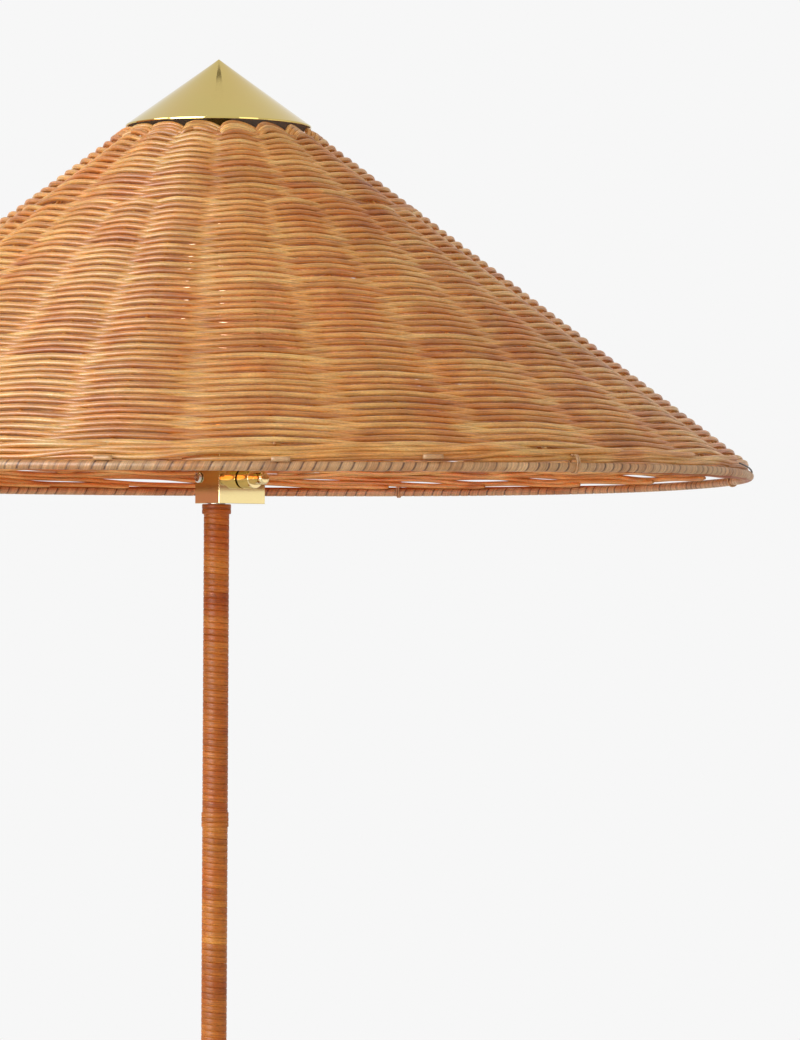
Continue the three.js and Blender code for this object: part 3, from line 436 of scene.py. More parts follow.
def cane_material(name, pale, mid, deep, roughness, fibre, streaks, tone_range, gloss=0.5, groove_and_painted_shade=False):
    """A cane finish. It reads the mesh's grain attribute (two across, one along, in metres) and
    its tone attribute (0 to 1 for each cane). With its last argument set, it also reads a third
    attribute and darkens where it rises: painted shade in the grooves between wraps."""
    material, tree, shader = new_material(name)
    grain = node(tree, "ShaderNodeAttribute", {"attribute_name": "grain"})
    tone = node(tree, "ShaderNodeAttribute", {"attribute_name": "tone"})
    where = node(tree, "ShaderNodeTexCoord")

    def noise(vector, size, detail, scale=(1, 1, 1)):
        turned = node(tree, "ShaderNodeMapping", {"Scale": scale}, {"Vector": vector})
        settings = {"Scale": 1 / size, "Detail": detail, "Roughness": 0.6}
        return node(tree, "ShaderNodeTexNoise", settings, {"Vector": turned.outputs[0]}).outputs["Fac"]

    def stretched(value, low, high, start=0.36, end=0.64):
        settings = {"From Min": start, "From Max": end, "To Min": low, "To Max": high}
        return node(tree, "ShaderNodeMapRange", settings, {"Value": value}).outputs[0]

    def multiplied(colour, by, amount=1.0):
        settings = {"data_type": "RGBA", "blend_type": "MULTIPLY", 0: amount}
        return node(tree, "ShaderNodeMix", settings, {6: colour, 7: by}).outputs[2]

    fibres = noise(grain.outputs["Vector"], fibre, 3.0, (1, 1, 0.018))
    pores = noise(grain.outputs["Vector"], 0.35 * MM, 2.0, (1, 1, 0.22))
    drift = noise(grain.outputs["Vector"], 45 * MM, 3.0)
    patches = noise(where.outputs["Object"], 34 * MM, 2.0, (1, 1, 1.6))
    greener = noise(where.outputs["Object"], 60 * MM, 2.0, (1.2, 1, 2.0))
    settings = {"operation": "MULTIPLY_ADD", 1: tone_range, 2: -tone_range / 2}
    whole = node(tree, "ShaderNodeMath", settings, {0: tone.outputs["Fac"]})
    drifted = node(tree, "ShaderNodeMath", {"operation": "ADD"}, {0: whole.outputs[0], 1: drift})
    base = ramp(tree, drifted.outputs[0], (0.22, deep), (0.5, mid), (0.80, pale))
    ripened = ramp(tree, patches, (0.45, "#ffffff"), (0.68, "#f0d2a8"))
    unripe = ramp(tree, greener, (0.48, "#ffffff"), (0.64, "#e6e6bc"))
    colour = multiplied(base, ripened)
    colour = multiplied(colour, unripe, tone_range if not groove_and_painted_shade else UNRIPE_ON_RIM)
    colour = multiplied(colour, stretched(fibres, *streaks))
    colour = multiplied(colour, stretched(pores, 0.80, 1.08))
    if groove_and_painted_shade:
        groove_shade_node = node(tree, "ShaderNodeAttribute", {"attribute_name": "groove_and_painted_shade"})
        # dark brown painted shade in the grooves between wraps
        settings = {"data_type": "RGBA", "blend_type": "MULTIPLY", 7: linear("#5c3a1e")}
        colour = node(tree, "ShaderNodeMix", settings, {0: groove_shade_node.outputs["Fac"], 6: colour}).outputs[2]
    bump = node(tree, "ShaderNodeBump", {"Strength": 0.5, "Distance": 0.12 * MM}, {"Height": fibres})
    tree.links.new(colour, shader.inputs["Base Color"])
    tree.links.new(bump.outputs[0], shader.inputs["Normal"])
    tree.links.new(stretched(fibres, roughness * 1.4, roughness * 0.85), shader.inputs["Roughness"])
    shader.inputs["Specular IOR Level"].default_value = gloss
    shader.inputs["Subsurface Weight"].default_value = 0.25
    shader.inputs["Subsurface Radius"].default_value = (1.6, 0.7, 0.3)
    shader.inputs["Subsurface Scale"].default_value = 1 * MM
    return material


def round_section(thickness, sides):
    """A round cane's section as (across, up) points."""
    turn = np.arange(sides) * math.tau / sides
    return np.c_[np.cos(turn), np.sin(turn)] * thickness / 2


# how far along the grain one cane starts from the last
GRAIN_APART = 0.37


def cane_piece(name, strands, section, material, body, replaced):
    """Canes of one section as one mesh. Each strand is (points, thickness shares, tone)."""
    profile = bpy.data.curves.new(name + "_section", "CURVE")
    outline = profile.splines.new("POLY")
    outline.points.add(len(section) - 1)
    flat = np.c_[section, np.zeros(len(section)), np.ones(len(section))].astype(np.float32)
    outline.points.foreach_set("co", flat.ravel())
    outline.use_cyclic_u = True
    profile_object = in_scene(profile.name, profile)
    data = bpy.data.curves.new(name, "CURVE")
    data.dimensions = "3D"
    data.twist_mode = "Z_UP"
    data.bevel_mode = "OBJECT"
    data.bevel_object = profile_object
    lengths, tones = [], []
    for points, shares, tone in strands:
        spline = data.splines.new("POLY")
        spline.points.add(len(points) - 1)
        flat = np.c_[points, np.ones(len(points))].astype(np.float32)
        spline.points.foreach_set("co", flat.ravel())
        spline.points.foreach_set("radius", np.broadcast_to(shares, len(points)).astype(np.float32))
        step = np.linalg.norm(np.diff(points, axis=0), axis=1)
        lengths.append(np.r_[0, np.cumsum(step)] + len(lengths) * GRAIN_APART)
        tones.append(np.broadcast_to(tone, len(points)))
    shape = in_scene(name + "_path", data)
    depsgraph = bpy.context.evaluated_depsgraph_get()
    mesh = bpy.data.meshes.new_from_object(shape.evaluated_get(depsgraph))
    bpy.data.objects.remove(shape)
    bpy.data.objects.remove(profile_object)
    mesh.name = name
    sides = len(section)
    lengths, tones = np.concatenate(lengths), np.concatenate(tones)
    grain = np.c_[np.tile(section, (len(lengths), 1)), np.repeat(lengths, sides)]
    attribute = mesh.attributes.new("grain", "FLOAT_VECTOR", "POINT")
    attribute.data.foreach_set("vector", grain.astype(np.float32).ravel())
    attribute = mesh.attributes.new("tone", "FLOAT", "POINT")
    attribute.data.foreach_set("value", np.repeat(tones, sides).astype(np.float32))
    bm = bmesh.new()
    bm.from_mesh(mesh)
    for face in bm.faces:
        face.smooth = True
    bmesh.ops.holes_fill(bm, edges=bm.edges, sides=sides)
    bmesh.ops.recalc_face_normals(bm, faces=bm.faces)
    bm.to_mesh(mesh)
    bm.free()
    mesh.materials.clear()
    mesh.materials.append(material)
    return placed(mesh, name, body, replaced)


# Stem wrapping: split cane 3.5 mm wide wound tightly round the tube in equal lengths. A doubled
# band hides the tails between two lengths, and the last turns under the housing lie double.
stem_cane = cane_material(
    "varnished_split_cane", "#d88e38", "#c07024", "#9c5013", 0.40, 0.4 * MM, (0.7, 1.12), 0.4, 0.22
)
TURN_PITCH, SPLICE_PITCH = 3.45 * MM, 2.8 * MM
WIDTH_SHARE = 1.02
TURN_STEPS = 24
CLIMB_STEPS = 3
CANE_BACK, CANE_FACE = 5.3 * MM, 7.15 * MM
SPLICE_PROUD, TOP_TURNS_PROUD = 0.45 * MM, 1.0 * MM
TURN_WOBBLE = 0.22 * MM
TONE_TURNS = 5
rng = random.Random(7)


def strip_section(width, depth):
    """A split cane's section, flat across its face and rounded at both edges."""
    quarter = np.array([(0.5, 0.28), (0.46, 0.43), (0.33, 0.5)])
    half = np.r_[quarter, quarter[::-1] * (-1, 1)]
    return np.r_[half, half[::-1] * (1, -1)] * (depth, width)


def winding(name, low, high, face, replaced, pitch=TURN_PITCH, level=False):
    """One length of cane wound from low to high round the stem. A level one climbs at the back."""
    width = pitch * WIDTH_SHARE
    turns = max(1, round((high - low) / pitch) - (0 if level else 1))
    steps = turns * TURN_STEPS
    at = np.arange(steps + 1) / steps
    turn = at * turns * math.tau
    if level:
        climb = np.minimum(np.floor(at * turns), turns - 1) / max(1, turns - 1)
        part = np.clip((at * turns) % 1 * TURN_STEPS / CLIMB_STEPS, 0, 1)
        climb = np.clip(climb - (1 - part) / max(1, turns - 1), 0, 1)
    else:
        climb = at
    middle = (CANE_BACK + face) / 2
    knots = np.linspace(0, 1, max(3, turns))
    wobble = np.interp(at, knots, [TURN_WOBBLE * (rng.random() - 0.5) for _ in knots])
    height = low + width / 2 + (high - low - width) * climb + wobble * np.sin(at * math.pi)
    points = np.c_[middle * np.sin(turn), middle * np.cos(turn), height]
    slow = np.linspace(0, 1, max(3, turns // TONE_TURNS))
    tone = 0.5 * np.interp(at, knots, [rng.random() for _ in knots])
    tone = tone + 0.5 * np.interp(at, slow, [rng.random() for _ in slow])
    section = strip_section(width, face - CANE_BACK)
    return cane_piece(name, [(points, 1.0, tone)], section, stem_cane, "stand", replaced)


BAND_OVERLAP = 3.0 * MM
section_names = sorted(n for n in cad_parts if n.startswith("stem_wrap_") and n[-1].isdigit())
splice_names = sorted(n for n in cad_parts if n.startswith("stem_splice_"))
band_low, band_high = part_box("stem_top_band")
for index, name in enumerate(section_names):
    low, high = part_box(name)
    first, last = index == 0, index == len(section_names) - 1
    bottom = low.z - (0 if first else BAND_OVERLAP)
    top = band_low.z + BAND_OVERLAP if last else high.z + BAND_OVERLAP
    replaced = [name, "stem_wrap_top_turns"] if last else [name]
    winding("stem_cane_%d" % (index + 1), bottom, top, CANE_FACE, replaced)
for index, name in enumerate(splice_names):
    low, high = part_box(name)
    face = CANE_FACE + SPLICE_PROUD
    winding("stem_splice_band_%d" % (index + 1), low.z, high.z, face, [name], SPLICE_PITCH, level=True)
face = CANE_FACE + TOP_TURNS_PROUD
winding("stem_top_turns", band_low.z, band_high.z, face, ["stem_top_band"], SPLICE_PITCH, level=True)

# Switch housing: a brass block milled hollow, its edges just broken and its faces buffed flat to
# a mirror. The lid lies flush on it.
HEAD_TURN = math.radians(40)
HOUSING_LENGTH, HOUSING_WIDTH = 33.7 * MM, 21 * MM
HOUSING_END_TO_STEM = 7 * MM
EDGE_BREAK = 0.25 * MM
to_head = Matrix.Rotation(HEAD_TURN, 4, "Z")


def brass_block(name, low_z, high_z, replaced):
    """A block over the housing's plan, with broken edges."""
    bm = bmesh.new()
    bmesh.ops.create_cube(bm, size=1)
    bmesh.ops.scale(bm, vec=(HOUSING_LENGTH, HOUSING_WIDTH, high_z - low_z), verts=bm.verts)
    shift = (HOUSING_LENGTH / 2 - HOUSING_END_TO_STEM, 0, (low_z + high_z) / 2)
    bmesh.ops.translate(bm, vec=shift, verts=bm.verts)
    bmesh.ops.bevel(
        bm,
        geom=bm.edges[:],
        offset=EDGE_BREAK,
        offset_type="OFFSET",
        affect="EDGES",
        segments=2,
        profile=0.5,
        material=-1,
    )
    bmesh.ops.transform(bm, matrix=to_head, verts=bm.verts)
    return finished(bm, name, milled_brass, "stand", replaced, smooth=False)


housing_low, housing_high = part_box("switch_housing")
lid_low, lid_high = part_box("housing_lid")
brass_block("housing_block", housing_low.z, housing_high.z, ["switch_housing"])
brass_block("housing_lid_plate", lid_low.z, lid_high.z, ["housing_lid"])
dress(nickel, "housing_end_screw")

# Knob: turned from brass bar, with a wide grip, a thin neck, a groove and a rounded end. It turns
# on the switch's spindle, clear of the block by a thin dark gap.
KNOB_ALONG = 10.6 * MM
KNOB_UP = 14.0 * MM
KNOB_GAP = 0.8 * MM
GRIP_RADIUS, GRIP_LENGTH = 5.6 * MM, 9.6 * MM
NECK_RADIUS, NECK_LENGTH = 3.5 * MM, 5.3 * MM
GROOVE = 0.6 * MM
END_LENGTH = 2.6 * MM
KNOB_EDGE = 0.35 * MM
KNOB_BORE, KNOB_RECESS = 4.9 * MM, 2.4 * MM
grip_end = KNOB_GAP + GRIP_LENGTH
neck_end = grip_end + NECK_LENGTH
disc_start = neck_end + GROOVE
disc_end = disc_start + END_LENGTH
knob = spun(
    [
        (0, KNOB_RECESS),
        (KNOB_BORE, KNOB_RECESS),
        (KNOB_BORE, KNOB_GAP),
        *arc(GRIP_RADIUS - KNOB_EDGE, KNOB_GAP + KNOB_EDGE, KNOB_EDGE, 270, 360, 4),
        *arc(GRIP_RADIUS - KNOB_EDGE, grip_end - KNOB_EDGE, KNOB_EDGE, 0, 90, 4),
        (NECK_RADIUS, grip_end),
        (NECK_RADIUS, neck_end),
        (NECK_RADIUS - GROOVE, neck_end),
        (NECK_RADIUS - GROOVE, disc_start),
        (NECK_RADIUS, disc_start),
        *arc(NECK_RADIUS - END_LENGTH / 2, disc_end - END_LENGTH / 2, END_LENGTH / 2, 0, 90, 8),
        (0, disc_end),
    ],
)
knob_place = (
    to_head
    @ Matrix.Translation((KNOB_ALONG, -HOUSING_WIDTH / 2, housing_low.z + KNOB_UP))
    @ Matrix.Rotation(math.pi / 2, 4, "X")
)
bmesh.ops.transform(knob, matrix=knob_place, verts=knob.verts)
knob_brass = turned_metal("turned_knob_brass", "#e8d09c", 0.08, 0.5 * MM, 0.004 * MM)
finished(knob, "knob_turned", knob_brass, "knob", ["switch_knob"])

# Lamp holder: a pressed brass cup and sleeve round a porcelain core. The cup is drawn in one
# piece with a hole for its nipple, and the sleeve's upper edge is rounded.
cup_low, cup_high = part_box("holder_cup")
shell_low, shell_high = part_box("holder_shell")
HOLDER_RADIUS, HOLDER_WALL = 19 * MM, 1.2 * MM
CUP_CHAMFER, CUP_FLOOR = 5 * MM, 1.6 * MM
cup = spun(
    [
        (STEM_HOLE, cup_low.z),
        *arc(HOLDER_RADIUS - CUP_CHAMFER, cup_low.z + CUP_CHAMFER, CUP_CHAMFER, 270, 360, 8),
        (HOLDER_RADIUS, cup_high.z),
        (HOLDER_RADIUS - HOLDER_WALL, cup_high.z),
        *arc(
            HOLDER_RADIUS - CUP_CHAMFER,
            cup_low.z + CUP_CHAMFER,
            CUP_CHAMFER - HOLDER_WALL,
            360,
            270,
            8,
        ),
        (STEM_HOLE, cup_low.z + CUP_FLOOR),
    ],
    closed=True,
)
finished(cup, "holder_cup_pressed", polished_brass, "stand", ["holder_cup"])
sleeve = spun(
    [
        (HOLDER_RADIUS - HOLDER_WALL, shell_low.z),
        (HOLDER_RADIUS, shell_low.z),
        *arc(HOLDER_RADIUS - HOLDER_WALL / 2, shell_high.z - HOLDER_WALL / 2, HOLDER_WALL / 2, 0, 180, 6),
    ],
    closed=True,
)
finished(sleeve, "holder_sleeve", polished_brass, "stand", ["holder_shell"])

# Bulb: opal glass blown to a ball with a neck, over a nickelled screw cap. It is lit, and glows a
# warm white.
BULB_GLOW = 2.0
opal_glass, opal_tree, opal_shader = new_material("opal_glass")
opal_place = node(opal_tree, "ShaderNodeTexCoord")
opal_noise = node(
    opal_tree, "ShaderNodeTexNoise", {"Scale": 40.0, "Detail": 2.0}, {"Vector": opal_place.outputs["Object"]}
)
opal_tint = ramp(opal_tree, opal_noise.outputs["Fac"], (0, "#f4efe3"), (1, "#fbf8f1"))
opal_tree.links.new(opal_tint, opal_shader.inputs["Base Color"])
opal_shader.inputs["Roughness"].default_value = 0.18
opal_shader.inputs["Subsurface Weight"].default_value = 0.3
opal_shader.inputs["Subsurface Radius"].default_value = (0.01, 0.008, 0.006)
opal_shader.inputs["Emission Color"].default_value = linear("#ffd9b0")
opal_shader.inputs["Emission Strength"].default_value = BULB_GLOW

glass_low, glass_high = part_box("bulb_glass")
BULB_RADIUS, BULB_NECK = 30 * MM, 13.4 * MM
GLASS_WALL = 1.0 * MM
bulb_centre = glass_high.z - BULB_RADIUS
NECK_SHARE = 0.3
neck_top = glass_low.z + (bulb_centre - glass_low.z) * NECK_SHARE
glass = spun(
    [
        (BULB_NECK - GLASS_WALL, glass_low.z),
        (BULB_NECK, glass_low.z),
        (BULB_NECK, neck_top),
        *arc(0, bulb_centre, BULB_RADIUS, -30, 90, 20)[:-1],
        (0, glass_high.z),
    ],
)
finished(glass, "bulb_opal_glass", opal_glass, "bulb", ["bulb_glass"])
dress(nickel, "bulb_cap")

# Harp: one brass rod bent to a bow over the bulb, with a pierced boss on top and a ferrule on
# each foot.
harp_low, harp_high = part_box("harp")
HARP_WIRE = 4.4 * MM
HARP_FOOT, HARP_HALF_WIDTH = 26 * MM, 46 * MM
HARP_STRAIGHT = 16 * MM
HARP_SHOULDER, HARP_WAIST = 0.34, 0.62
BOSS_RADIUS, BOSS_THICKNESS, STUD_HOLE = 8 * MM, 4.4 * MM, 3.3 * MM
ROD_IN_BOSS = 1 * MM
harp_top = harp_high.z - BOSS_THICKNESS / 2
harp_foot = harp_low.z
to_harp = Matrix.Rotation(math.pi / 2, 4, "Z") @ to_head


def bent(start, start_pull, end_pull, end, steps=16):
    """Points of a smooth bend between two places, each pulled towards its own handle."""
    t = np.linspace(0, 1, steps + 1)[:, None]
    start, start_pull, end_pull, end = map(np.array, (start, start_pull, end_pull, end))
    bend = (1 - t) ** 3 * start + 3 * (1 - t) ** 2 * t * start_pull
    return bend + 3 * (1 - t) * t**2 * end_pull + t**3 * end


straight_top = harp_foot + HARP_STRAIGHT
shoulder = harp_foot + (harp_top - harp_foot) * HARP_SHOULDER
waist = harp_foot + (harp_top - harp_foot) * HARP_WAIST
pull = (shoulder - straight_top) / 2
leg = np.vstack(
    [
        [(HARP_FOOT, harp_foot)],
        bent(
            (HARP_FOOT, straight_top),
            (HARP_FOOT, straight_top + pull),
            (HARP_HALF_WIDTH, shoulder - pull),
            (HARP_HALF_WIDTH, shoulder),
        ),
        bent(
            (HARP_HALF_WIDTH, waist),
            (HARP_HALF_WIDTH, (waist + harp_top) / 2),
            (HARP_FOOT, harp_top),
            (BOSS_RADIUS - ROD_IN_BOSS, harp_top),
        ),
    ]
)
bow_strands = []
for side in (-1, 1):
    points = [to_harp @ Vector((side * x, 0, z)) for x, z in leg]
    bow_strands.append((np.array(points), 1.0, 0.5))
cane_piece(
    "harp_rod", bow_strands, round_section(HARP_WIRE, 16), polished_brass, "stand", ["harp"]
)
boss = spun(
    [
        (STUD_HOLE, harp_high.z - BOSS_THICKNESS),
        (BOSS_RADIUS, harp_high.z - BOSS_THICKNESS),
        (BOSS_RADIUS, harp_high.z),
        (STUD_HOLE, harp_high.z),
    ],
    steps=48,
    closed=True,
)
finished(boss, "harp_boss", polished_brass, "stand", ["harp"])
dress(polished_brass, "harp_saddle", "harp_ferrule_1", "harp_ferrule_2")

# Shade carrier: steel wire bent to a ring, welded shut and zinc plated. It holds the top of the
# weave open.
ring_low, ring_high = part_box("shade_top_ring")
TOP_RING_WIRE = 2.0 * MM
top_ring_r = ring_high.x - TOP_RING_WIRE
top_ring_z = (ring_low.z + ring_high.z) / 2
top_ring = spun(arc(top_ring_r, top_ring_z, TOP_RING_WIRE, 0, 345, 11), steps=96, closed=True)
finished(top_ring, "top_ring_wire", plated_steel, "shade", ["shade_top_ring"])

# Shade wall: round rattan core, 3 mm thick, woven row on row over and under stakes that run
# down the cone. Seventeen stakes leave the top. Nine more are pushed in beside them part way
# down, so that twenty-six reach the rim.
shade_cane = cane_material(
    "peeled_rattan_core", "#efbf74", "#df9c4e", "#c07832", 0.38, 0.36 * MM, (0.56, 1.18), 0.4
)
weave_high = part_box("shade_weave")[1]
rim_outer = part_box("rim_binding")[1].x
CANE = 3.06 * MM
STAKE = 2.2 * MM
PRESSED = 0.5 * MM
CANE_SIDES = 8
WEAVE_TOP_RADIUS = 53.5 * MM
FOOT_INSET, FOOT_RISE = 4.0 * MM, 11.1 * MM
SWING = (CANE + STAKE) / 2 - PRESSED
WALL = 2 * SWING + CANE
top_r, top_z = WEAVE_TOP_RADIUS, weave_high.z
foot_r, foot_z = rim_outer - FOOT_INSET, rim_z + FOOT_RISE
slant = math.atan2(top_z - foot_z, foot_r - top_r)
slant_cos, slant_sin = math.cos(slant), math.sin(slant)
# the wall turns down steeper where it meets the rim
TURN_DOWN_AT = 305 * MM
TURN_DOWN = math.radians(85)
TURN_OVER = 4 * MM

STAKES_BELOW, STAKES_ABOVE = 26, 17
FIRST_BELOW, FIRST_ABOVE = math.radians(6.2), math.radians(9.7)
FAN_START, FAN_END = 58 * MM, 98 * MM
ADDED = (1, 4, 7, 10, 13, 15, 18, 21, 24)
ADDED_AT, ADDED_SPREAD = 76 * MM, 8 * MM
# the stakes were spaced by eye: how far some of them stand off, in degrees
OFF_PLACE = {25: -2.6, 0: -0.6, 2: 0.9, 3: 1.0, 4: 1.0}
ROW_PITCH = 2.84 * MM
FIRST_ROW, LAST_ROW = 6 * MM, 302.5 * MM
ROWS_PACKED = 0.0055
SCALLOP, SCALLOP_FADE = 2.2 * MM, 14 * MM


def on_wall(down, angle, proud):
    """Points of the wall: down the slant, round from the front, and proud of its middle."""
    down, angle, proud = np.broadcast_arrays(down, angle, proud)
    above = np.minimum(down, TURN_DOWN_AT)
    below = down - above
    lean = slant + (TURN_DOWN - slant) * np.minimum(below / TURN_OVER, 1)
    radius = top_r + above * slant_cos + below * math.cos(TURN_DOWN) + (proud - WALL / 2) * np.sin(lean)
    height = top_z - above * slant_sin - below * math.sin(TURN_DOWN) + (proud - WALL / 2) * np.cos(lean)
    return np.stack([radius * np.sin(angle), -radius * np.cos(angle), height], -1)


def smooth_step(x):
    """Runs from 0 to 1 with x, level at both ends."""
    x = np.clip(x, 0, 1)
    return x * x * (3 - 2 * x)


rng = random.Random(21)
added_at = {k: ADDED_AT + (rng.random() - 0.5) * ADDED_SPREAD for k in ADDED}


def below_angle(index):
    """A stake's angle near the rim, where there are twenty-six."""
    off = OFF_PLACE.get(index % STAKES_BELOW, 0)
    return FIRST_BELOW + index * math.tau / STAKES_BELOW + math.radians(off)


def above_angle(index):
    """A stake's angle near the top, where the added ones are missing."""
    turns, place = divmod(index, STAKES_BELOW)
    before = sum(1 for k in ADDED if k < place)
    return FIRST_ABOVE + (place - before) * math.tau / STAKES_ABOVE + turns * math.tau


def stake_angle(index, down):
    """A stake's angle round from the front. An added one starts midway between its neighbours."""
    if index in ADDED:
        above = (above_angle(index - 1) + above_angle(index + 1)) / 2
    else:
        above = above_angle(index)
    spread = smooth_step((down - FAN_START) / (FAN_END - FAN_START))
    return above + (below_angle(index) - above) * spread


def stakes_crossed(down):
    """The angles at which a row crosses stakes."""
    reached = [k for k in range(STAKES_BELOW) if down >= added_at.get(k, 0)]
    return [float(stake_angle(k, down)) for k in reached]


POINTS_PER_STAKE = 9
# a row's bend: this share is a plain wave and the rest a zigzag
WAVE_SHARE = 0.7
ROW_SWING_SHARE = 0.97
BACK_WANDER = 0.35
ENDS_WANDER, ENDS_TURN = 0.9, 2.4
# how a row strays up and down: times round, how far
SWAYS = ((3, 0.20 * MM), (8, 0.16 * MM), (17, 0.12 * MM))
ROW_SHIFT = 0.3 * MM
THICKNESS_DRIFT, THICKNESS_SPREAD = 0.03, 0.04


def woven_row(number, down):
    """One row: a cane that passes outside one stake and inside the next, all the way round. Its
    ends meet inside the wall, at the back."""
    crossed = stakes_crossed(down)
    if len(crossed) % 2:
        back = min(crossed, key=lambda a: abs(a - math.pi - BACK_WANDER * math.sin(number)))
        crossed.remove(back)
    stakes = np.array(crossed + [crossed[0] + math.tau])
    first_side = 1 if number % 2 else -1
    ends_near = math.pi + ENDS_WANDER * math.sin(number * ENDS_TURN)
    inner = [i for i in range(len(crossed)) if first_side * (-1) ** i < 0]
    start = min(inner, key=lambda i: abs(crossed[i] - ends_near))
    count = len(crossed) * POINTS_PER_STAKE
    at = np.arange(count + 1) / POINTS_PER_STAKE + start
    wrapped = at % len(crossed)
    turns = at // len(crossed)
    angle = np.interp(wrapped, np.arange(len(stakes)), stakes) + turns * math.tau
    wave = first_side * np.cos(math.pi * at)
    wave = WAVE_SHARE * wave + (1 - WAVE_SHARE) * 2 / math.pi * np.arcsin(wave)
    phase = [rng.random() * math.tau for _ in range(4)]
    sway = sum(far * np.sin(times * angle + turn) for (times, far), turn in zip(SWAYS, phase))
    shares = 1 + THICKNESS_DRIFT * np.sin(2 * angle + phase[-1])
    shares += THICKNESS_SPREAD * (rng.random() - 0.5)
    hang = SCALLOP * math.exp(-down / SCALLOP_FADE) * (1 - np.cos(math.tau * at)) / 2
    place = down + hang + sway + ROW_SHIFT * (rng.random() - 0.5)
    return on_wall(place, angle, wave * SWING * ROW_SWING_SHARE), shares, rng.random()


rows = round((LAST_ROW - FIRST_ROW) / ROW_PITCH)
shares_down = [i / rows - ROWS_PACKED * math.sin(math.tau * i / rows) for i in range(rows + 1)]
downs = [FIRST_ROW + (LAST_ROW - FIRST_ROW) * share for share in shares_down]
strands = [woven_row(i, down) for i, down in enumerate(downs)]
section = round_section(CANE, CANE_SIDES)
WEAVE_PIECES = 4
for part in range(WEAVE_PIECES):
    first, last = (k * len(strands) // WEAVE_PIECES for k in (part, part + 1))
    name = "shade_rows_%d" % (part + 1)
    cane_piece(name, strands[first:last], section, shade_cane, "shade", ["shade_weave"])

# Stakes: thinner canes that run straight down the cone from the top to the last row. An added one
# starts a little above the first row that crosses it.
STAKE_STEP = 5 * MM
STAKE_START, STAKE_END = 2 * MM, 1 * MM
PUSHED_IN = 3 * MM
stake_strands = []
for index in range(STAKES_BELOW):
    begin = added_at[index] - PUSHED_IN if index in added_at else STAKE_START
    reach = np.append(np.arange(begin, LAST_ROW - STAKE_STEP, STAKE_STEP), LAST_ROW - STAKE_END)
    angles = np.array([stake_angle(index, d) for d in reach])
    stake_strands.append((on_wall(reach, angles, 0 * reach), 1.0, rng.random()))
section = round_section(STAKE, CANE_SIDES)
cane_piece("shade_stakes", stake_strands, section, shade_cane, "shade", ["shade_weave"])

# Top border: each stake ends in a low arch of three canes, one below the other, whose ends tuck in
# behind the next arches.
ARCH_PEAK, ARCH_VALLEY = -1.2 * MM, 3.6 * MM
ARCH_REACH = 1.22
ARCH_TURN = math.radians(3.3)
ARCH_ROWS, ARCH_POINTS = 3, 25
ARCH_PITCH = 0.96 * CANE
ARCH_STRAY = 0.03
ARCH_FULLNESS = (1.7, 2.2)
ARCH_TWIST, ARCH_OUT = 0.95, 0.35
TUCK_FROM, TUCK = 0.9, 1.7
arch_strands = []
for index in range(STAKES_ABOVE):
    for row in range(ARCH_ROWS):
        stands_at = index + rng.uniform(-ARCH_STRAY, ARCH_STRAY)
        middle = FIRST_ABOVE + ARCH_TURN + stands_at * math.tau / STAKES_ABOVE
        across = np.linspace(-ARCH_REACH, ARCH_REACH, ARCH_POINTS)
        angles = middle + across * math.pi / STAKES_ABOVE
        bend = np.abs(across) ** rng.uniform(*ARCH_FULLNESS)
        fall = ARCH_PEAK + (ARCH_VALLEY - ARCH_PEAK) * bend + row * ARCH_PITCH
        tucked = TUCK * smooth_step((-across - TUCK_FROM) / (ARCH_REACH - TUCK_FROM))
        side = (np.clip(ARCH_OUT - across * ARCH_TWIST, -1, 1) - tucked) * SWING
        arch_strands.append((on_wall(fall, angles, side), 1.0, rng.random()))
section = round_section(CANE, CANE_SIDES)
cane_piece("shade_top_arches", arch_strands, section, shade_cane, "shade", ["shade_weave"])

# Rim: a round hoop, bound edge to edge with split cane 6.4 mm wide. It was bent by hand, so it
# stands a little off the level: these are the parts of its lift that come round 0 to 3 times.
HOOP_BEND = (-0.1 * MM, 1.45 * MM, -1.35 * MM, -0.85 * MM)
# The binding's finish paints shade into the grooves between its wraps.
rim_cane = cane_material(
    "bound_split_cane", "#dcb080", "#c89968", "#a8774b", 0.45, 0.8 * MM, (0.66, 1.12), 0.15, groove_and_painted_shade=True
)
BINDING = 4.9 * MM
WRAP_WIDTH = 6.4 * MM
WRAP_STEPS = 14
WRAP_ACROSS = 8
SEAM_DEPTH = 0.3 * MM
SEAM_SHARPNESS = 9
SEAM_SPREAD = (0.1, 1.5)
SEAM_WELD = 0.005 * MM
INSIDE_FRAME = 0.02 * MM
rim_r = rim_outer - BINDING / 2 - INSIDE_FRAME


def hoop_lift(angle):
    """How far the hoop stands above its level place, round from the front."""
    return sum(part * np.cos(times * angle) for times, part in enumerate(HOOP_BEND))


wraps = round(math.tau * rim_r / WRAP_WIDTH)
bm = bmesh.new()
bmesh.ops.create_grid(bm, x_segments=WRAP_ACROSS, y_segments=wraps * WRAP_STEPS, size=0.5)
flat = np.array([v.co for v in bm.verts])
across, turn = flat[:, 0], (flat[:, 1] + 0.5) * wraps
angle = (turn + across) * math.tau / wraps
edge_knots = np.arange(wraps + 1)
depths = np.array([rng.uniform(*SEAM_SPREAD) for _ in edge_knots])
depths[-1] = depths[0]
edge_depth = np.interp(turn + across, edge_knots, depths)
